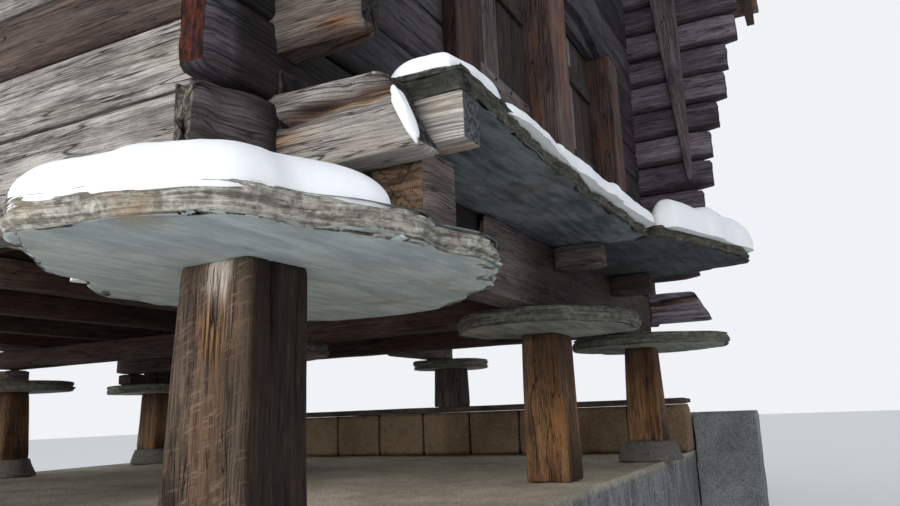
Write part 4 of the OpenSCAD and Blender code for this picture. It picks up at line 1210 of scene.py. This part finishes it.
def under_floor():
    """Blocks between the discs and the sills, floor beams, joists and floor boards."""
    y_near, z_rear = Y_INNER[0] + 0.11, Z_PAD - REAR_DROP
    left, right = (X_LEFT - 0.055, X_LEFT + 0.305), (X_POSTS[2] - 0.11, X_RIGHT + 0.055)
    x_beams = (X_POSTS[1], X_POSTS[2] - 0.345)
    places = [
        (ends, y, z, Z_SILL) for ends, y_middle in ((left, Y_MIDDLE), (right, CURB_POST[1]))
        for y, z in ((y_near, Z_PAD), (y_middle, Z_PAD), (Y_BACK, z_rear))]
    places += [((x - 0.1, x + 0.1), Y_BACK, z_rear, Z_PAD) for x in x_beams]
    group("sill_pads", BEAM_WOOD, "beams", timber, [
        (0, (x_0 + INSET, x_1 - INSET, 0.05), (y - 0.108, z_0 + FINE_INSET),
         (0.216, z_1 - z_0 - 2 * FINE_INSET), 71 + i)
        for i, ((x_0, x_1), y, z_0, z_1) in enumerate(places)], bevel=0.015)
    timbers(
        "floor_beams", PAINTED_LIGHT_INNER_WOOD, "beams", 1, (Y_INNER[0] + INSET, Y_REAR - INSET, 0.08),
        [(x - 0.098, Z_PAD + INSET) for x in x_beams], (0.196, BEAM_H), 80, bevel=0.015, gaps=(0.04, 0.03),
        tone=INNER_LIGHT_AND_SHADE)
    step = (Y_INNER[1] - Y_INNER[0]) / JOISTS
    timbers(
        "floor_joists", PAINTED_LIGHT_INNER_WOOD, "beams", 0, (X_INNER[0] + INSET, X_INNER[1] - INSET, 0.3),
        [(Y_INNER[0] + (i + 0.5) * step - 0.068, Z_SILL + INSET) for i in range(JOISTS)], (0.136, 0.151), 90,
        bevel=0.012, gaps=(0.05, 0.04), cracks=1, tone=INNER_LIGHT_AND_SHADE)
    step = (X_INNER[1] - X_INNER[0]) / FLOOR_BOARDS
    timbers(
        "floor_boards", ROOF_WOOD, "roof_timber", 1, (Y_INNER[0] + 2 * INSET, Y_INNER[1] - 2 * INSET, 0.6),
        [(X_INNER[0] + i * step + 0.003, Z_SILL + 0.157) for i in range(FLOOR_BOARDS)],
        (step - 0.006, 0.041), 960, bevel=0.004, gaps=(0.05, 0.03), cracks=1, rough=0.4, worn=0.001,
        crack_depth=0.003)


MASONRY_ROUGH = 0.006
CURB_BLOCK_L = 0.52
TERRACE_END_L = 0.55
JOINT = 0.006


def rough_box(piece, low, high, gap, seed, bevel=0.012, tone=0.5):
    """A masonry block whose faces are a fine uneven net."""
    low, high = np.array(low, float), np.array(high, float)
    size = high - low
    middle = (low + high)[:2] / 2
    loop, normal = section(size[0], size[1], bevel, gap, gap)
    heights = np.linspace(low[2], high[2], max(3, round(size[2] / gap) + 1))
    rows = []
    for z in heights:
        row = lifted(loop + middle, z)
        tuck = bevel * 0.7 if z in (heights[0], heights[-1]) else 0
        depth = MASONRY_ROUGH * (fractal(row, 7, 4, seed) - 1.2) - tuck
        row[:, :2] += np.minimum(depth, 0)[:, None] * normal
        rows.append(row)
    longer = 0 if size[0] >= size[1] else 1
    half = abs(size[0] - size[1]) / 2
    target = np.zeros_like(loop)
    target[:, longer] = np.clip(loop[:, longer], -half, half)

    def lid(z, sign, steps):
        """Rings that close a flat face towards its middle line."""
        for t in np.arange(1, steps) / steps:
            row = lifted(loop * (1 - t) + target * t + middle, z)
            row[:, 2] += sign * np.minimum(MASONRY_ROUGH * (fractal(row, 6, 3, seed + 7) - 1.2), 0)
            yield row

    top = list(lid(high[2], 1, max(3, round(min(size[:2]) / 2 / gap))))
    bottom = list(lid(low[2], -1, 4))
    piece.shell(np.stack(bottom[::-1] + rows + top), tone=tone)


def from_origin(node):
    """The two corners of a CAD node's box, measured from ORIGIN."""
    return (np.array(corner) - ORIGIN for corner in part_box(node))


def masonry():
    # The plinth's top takes the pale colours, painted light, and its sides the darker grey ones
    def lit_top(points):
        return 1.0 * (points[:, 2] > -0.02)

    group("plinth", PLINTH_SKIN, "rough_cast", rough_box, [
        (*from_origin("plinth"), 0.05, 41)], tone=lit_top)
    low, high = from_origin("terrace_end")
    y_0 = low[1] + TERRACE_END_L
    group("terrace_end", ROUGH_CAST, "rough_cast", rough_box, [
        ((low[0], y_0 + JOINT, 0), (high[0], high[1] - JOINT, high[2]), 0.05, 42),
        (low, (high[0], y_0, high[2]), 0.04, 43)])
    low, high = from_origin("curb_blocks")
    edges = np.linspace(low[1], high[1], round((high[1] - low[1]) / CURB_BLOCK_L) + 1)
    group("curb_blocks", CURB_STONE, "curb_block", rough_box, [
        ((low[0], y_0 + JOINT / 2, low[2]), (high[0], y_1 - JOINT / 2, high[2]), 0.04, 50 + i, 0.02)
        for i, (y_0, y_1) in enumerate(zip(edges, edges[1:]))])
    low, high = from_origin("curb_plate")
    timbers(
        "curb_plate", BEAM_WOOD, "beams", 1, (low[1] + INSET, high[1] - INSET, 0.05),
        [low[[0, 2]] + FINE_INSET], (high - low)[[0, 2]] - 2 * FINE_INSET, 99, bevel=0.012,
        gaps=(0.04, 0.02), cracks=4, rough=0.7)


SLOPE_L = (X_MID - X_LEFT + EAVES) / math.cos(PITCH)
ROOF_BOARDS = 16
STONE_COURSES = 9
STONE_OVERLAP = 0.13
RIDGE_W = 0.27


def on_slope(x_0, z_0, mirror):
    """Moves places (up the slope from x_0 and z_0, along the roof, above the slope) to the roof."""
    def move(points):
        run = points[..., 0] * math.cos(PITCH)
        z = z_0 + run * math.tan(PITCH) + points[..., 2] / math.cos(PITCH)
        x = 2 * X_MID - x_0 - run if mirror else x_0 + run
        return np.stack((x, points[..., 1], z), -1)

    return move


def tilted(move, start, end):
    """Moves a stone onto the slope with its lower end raised on the course below."""
    def tilt(points):
        out = points.copy()
        share = (points[..., 0] - start) / (end - start)
        out[..., 2] += RAFTER_H + BOARD_T + (STONE_T + 0.001) * (1 - share)
        return move(out)

    return tilt


def stone_row(rng, least, most):
    """Start and width of each stone in one row along the roof."""
    y, end = Y_ROOF[0] + 0.01, Y_ROOF[1] - 0.01
    while y < end - 0.04:
        width = min(rng.uniform(least, most), end - y)
        if end - y - width < 0.25:
            width = end - y
        yield y, width
        y += width


def roof_stones(piece, move, seed):
    """Courses of stones from the eaves up, each lying on the one below."""
    run = SLOPE_L / STONE_COURSES
    rng = random(seed)
    for i in range(STONE_COURSES):
        start, end = i * run + 0.012, min((i + 1) * run + STONE_OVERLAP, SLOPE_L - 0.03)
        for y, width in stone_row(rng, 0.42, 0.86):
            a, b = y + 0.006, y + width - 0.006
            low = start + rng.uniform(0.0, 0.045)
            outline = [
                (low, a + rng.uniform(0, 0.05)), (low + rng.uniform(-0.012, 0.02), (a + b) / 2),
                (low + rng.uniform(0, 0.02), b - rng.uniform(0, 0.05)), (start + 0.1, b), (end, b), (end, a),
                (start + 0.1, a)]
            spine = [((start + end) / 2, a + width / 2 + side) for side in (-0.02, 0.02)]
            slab(
                piece, outline, 0.002, STONE_T - 0.005 - rng.uniform(0, 0.008), 0.095, spine,
                int(rng.integers(1, 9999)), tone=rng.uniform(), move=tilted(move, start, end), **ROOF_SPLIT)


def ridge_stones():
    """Pairs of stones that lean on each other along the ridge."""
    ridge = Piece()
    rng = random(77)
    length = RIDGE_W / math.cos(PITCH) - 0.004
    x_0 = X_MID - RIDGE_W
    z_0 = roof_z(x_0) + RAFTER_V + BOARD_V + 2 * STONE_V - 0.02
    for y, width in stone_row(rng, 0.4, 0.7):
        for mirror in (False, True):
            a, b = y + 0.004, y + width - 0.004
            outline = [(rng.uniform(0, 0.03), a), (rng.uniform(0, 0.03), b), (length, b), (length, a)]
            spine = [(length / 2, y + width / 2 + side) for side in (-0.1, 0.1)]
            slab(
                ridge, outline, 0.001, 0.036, 0.09, spine, int(rng.integers(1, 9999)), tone=rng.uniform(),
                move=on_slope(x_0, z_0, mirror), **RIDGE_SPLIT)
    ridge.build("ridge_stones", ROOF_STONE, "roof_stone")


def roof():
    step = (Y_INNER[1] - Y_INNER[0]) / JOISTS
    places = [Y_ROOF[0] + 0.1, (Y_ROOF[0] + Y_FRONT) / 2]
    places += [Y_INNER[0] + i * step for i in range(1, JOISTS)] + [Y_ROOF[1] - 0.1]
    x_eaves = X_LEFT - EAVES
    board_w = SLOPE_L / ROOF_BOARDS
    for side, mirror, seed in (("left", False, 1000), ("right", True, 1500)):
        move = on_slope(x_eaves, roof_z(x_eaves), mirror)
        timbers(
            "rafters_" + side, ROOF_WOOD, "roof_timber", 0, (0.02, SLOPE_L - 0.03, 0.25),
            [(y - 0.048, INSET) for y in places], (0.096, RAFTER_H - 0.003), seed, bevel=0.012, move=move)
        group("roof_boards_" + side, ROOF_WOOD, "roof_timber", timber, [
            (1, (*Y_BOARDS, 0.8), (i * board_w + 0.012, RAFTER_H + 0.001),
             (board_w - (0.024 if i == ROOF_BOARDS - 1 else 0.008), BOARD_T - 0.002), seed + 100 + i)
            for i in range(ROOF_BOARDS)], bevel=0.004, gaps=(0.06, 0.03), cracks=1, rough=0.3, worn=0.002,
            move=move, crack_depth=0.003)
        group("roof_stones_" + side, ROOF_STONE, "roof_stone", roof_stones, [(move, seed + 200)])
    ridge_stones()
    x_purlins = ((X_LEFT + X_MID) / 2, X_MID, (X_RIGHT + X_MID) / 2)
    timbers(
        "purlins", ROOF_WOOD, "roof_timber", 1, (*Y_BOARDS, 0.12),
        [(x - 0.093, roof_z(x) - 0.208) for x in x_purlins], (0.186, 0.206), 1300, bevel=0.025, cracks=3)


def drift(
    piece, outline, z, height, gap, spine, seed, flat, sink=0.012, rough=0.0, swell=0.16, **options,
):
    """A soft mound on an outline, rounded at its rim and level from the share flat of the way in.

    The options are those of slab.
    """
    def crown(t, point):
        lumps = swell * fractal(point, 2.2, 3, seed)
        if rough:
            lumps += rough * fractal(point, 22, 3, seed + 3)
        return height * math.sqrt(1 - (1 - min(t / flat, 1)) ** 2) * (1 + lumps)

    slab(piece, outline, z - sink, z, gap, spine, seed, top_profile=crown, **options, **DRIFT_SHAPE)


def snow_strip(piece, start, end, width, height, seed):
    """Snow that lies along a line on the landing."""
    start, end = np.array(start), np.array(end)
    along = (end - start) / np.linalg.norm(end - start)
    side = np.array((-along[1], along[0])) * width / 2
    tip = along * width * 0.4
    outline = [start - side, end - side, end + tip, end + side, start + side, start - tip]
    spine = (start + along * width * 0.3, end - along * width * 0.3)
    drift(piece, outline, Z_LANDING + 0.002, height, 0.025, spine, seed, 0.8)


# Start, end, width and height of the snow along the landing's edge, from the near end
SNOW_STRIPS = (
    ((0.50, -0.685), (1.15, -0.68), 0.09, 0.04),
    ((1.05, -0.68), (1.85, -0.68), 0.12, 0.07),
    ((1.80, -0.69), (2.42, -0.71), 0.14, 0.09),
    ((2.58, -0.80), (3.05, -0.96), 0.22, 0.15),
    ((2.95, -0.92), (3.60, -1.08), 0.24, 0.19),
)
SNOW_CORNER = (
    (0.112, -0.69), (0.110, -0.50), (0.17, -0.42), (0.28, -0.48), (0.40, -0.60), (0.52, -0.69), (0.42, -0.71),
    (0.25, -0.715))
SNOW_PATCH = (
    (-0.072, -0.635), (-0.035, -0.655), (0.0, -0.64), (0.015, -0.60), (-0.008, -0.56), (-0.045, -0.55),
    (-0.072, -0.585))


def patch_lean(points):
    """Lays the patch of snow on the steep end of the tongue."""
    out = points.copy()
    out[..., 2] += 1.9 * (points[..., 1] + 0.60)
    return out


def snow():
    rim = (CORNER_DISC + (corner_outline() - CORNER_DISC) * 0.993)[26:85]
    outline = [*rim, (0.06, -0.46), (0.08, 0.1), (-0.02, 0.8)]
    spine = ((-0.22, -0.12), (-0.22, 0.42))
    group("snow_on_corner_disc", SNOW, None, drift, [
        (outline, Z_PAD + 0.003, 0.156, 0.022, spine, 91, 0.7, 0.03)], (), swell=0.05)
    ledge = Piece()
    drift(ledge, SNOW_CORNER, Z_LANDING + 0.035, 0.052, 0.014, ((0.17, -0.62), (0.34, -0.665)), 92, 0.7)
    for i, strip in enumerate(SNOW_STRIPS):
        snow_strip(ledge, *strip, 93 + i)
    ledge.build("snow_on_landing", SNOW, None, ())
    spine = ((-0.03, -0.615), (-0.025, -0.595))
    group("snow_on_tongue", SNOW, None, drift, [
        (SNOW_PATCH, Z_SILL + 0.125, 0.05, 0.008, spine, 99, 0.7, 0.02, 0.25)], (), move=patch_lean)


def add(name, data):
    """Adds an object to the scene."""
    obj = bpy.data.objects.new(name, data)
    bpy.context.scene.collection.objects.link(obj)
    return obj


STAGE_HALF = 60


def stage():
    mesh = bpy.data.meshes.new("studio_floor")
    corners = ((-1, -1), (1, -1), (1, 1), (-1, 1))
    mesh.from_pydata([(STAGE_HALF * x, STAGE_HALF * y, 0) for x, y in corners], [], [range(4)])
    mesh.materials.append(Shader("studio_floor", 0.9, 0.1).finish((0.82, 0.82, 0.82, 1)))
    floor = add("studio_floor", mesh)


def camera():
    """The camera at the photograph's place, turned from +X towards +Y, tilted up and rolled."""
    yaw, pitch, roll = (math.radians(a) for a in (CAMERA_YAW, CAMERA_PITCH, CAMERA_ROLL))
    ahead = Vector((math.cos(yaw) * math.cos(pitch), math.sin(yaw) * math.cos(pitch), math.sin(pitch)))
    level = Vector((math.sin(yaw), -math.cos(yaw), 0))
    upright = level.cross(ahead)
    right = math.cos(roll) * level - math.sin(roll) * upright
    up = math.sin(roll) * level + math.cos(roll) * upright
    data = bpy.data.cameras.new("photo_camera")
    data.sensor_width = 36
    data.lens = CAMERA_FOCAL_PIXELS / PHOTO_WIDTH * data.sensor_width
    data.clip_start = 0.05
    data.clip_end = 200
    cam = add("photo_camera", data)
    cam.matrix_world = Matrix.Translation(CAMERA_PLACE) @ Matrix((right, up, -ahead)).transposed().to_4x4()
    bpy.context.scene.camera = cam


def area_light(name, place, target, size, power):
    data = bpy.data.lights.new(name, "AREA")
    data.shape = "DISK"
    data.size = size
    data.energy = power
    lamp = add(name, data)
    lamp.location = place
    lamp.visible_camera = False
    lamp.rotation_euler = (Vector(target) - Vector(place)).to_track_quat("-Z", "Y").to_euler()


def light():
    """Soft sky from the left, a dim surround, and a plain white backdrop that only the camera sees."""
    world = bpy.data.worlds.new("studio")
    bpy.context.scene.world = world
    world.use_nodes = True
    tree = world.node_tree
    ambient, backdrop = tree.nodes["Background"], tree.nodes.new("ShaderNodeBackground")
    for node, colour, strength in ((ambient, (0.9, 0.95, 1, 1), 0.78), (backdrop, (0.95, 0.97, 1, 1), 0.92)):
        node.inputs["Color"].default_value = colour
        node.inputs["Strength"].default_value = strength
    path = tree.nodes.new("ShaderNodeLightPath")
    choose = tree.nodes.new("ShaderNodeMixShader")
    sources = (path.outputs["Is Camera Ray"], ambient.outputs[0], backdrop.outputs[0])
    for source, socket in zip(sources, choose.inputs):
        tree.links.new(source, socket)
    tree.links.new(choose.outputs[0], tree.nodes["World Output"].inputs["Surface"])
    area_light("sky_left", (-16, 2.4, 6.8), (0, 0, 1.2), 12.8, 1020)
    area_light("flat_left", (-16, -4.5, 1.8), (0, 0.5, 0.8), 6, 640)
    area_light("plinth_glow", (-1.0, -1.4, 1.43), (-1.0, -1.4, 0), 2.6, 6)
    bpy.context.scene.view_settings.view_transform = "Standard"


camera()
light()
stage()
masonry()
posts()
discs()
under_floor()
walls()
door_frame()
doors()
clamps()
landing()
roof()
snow()
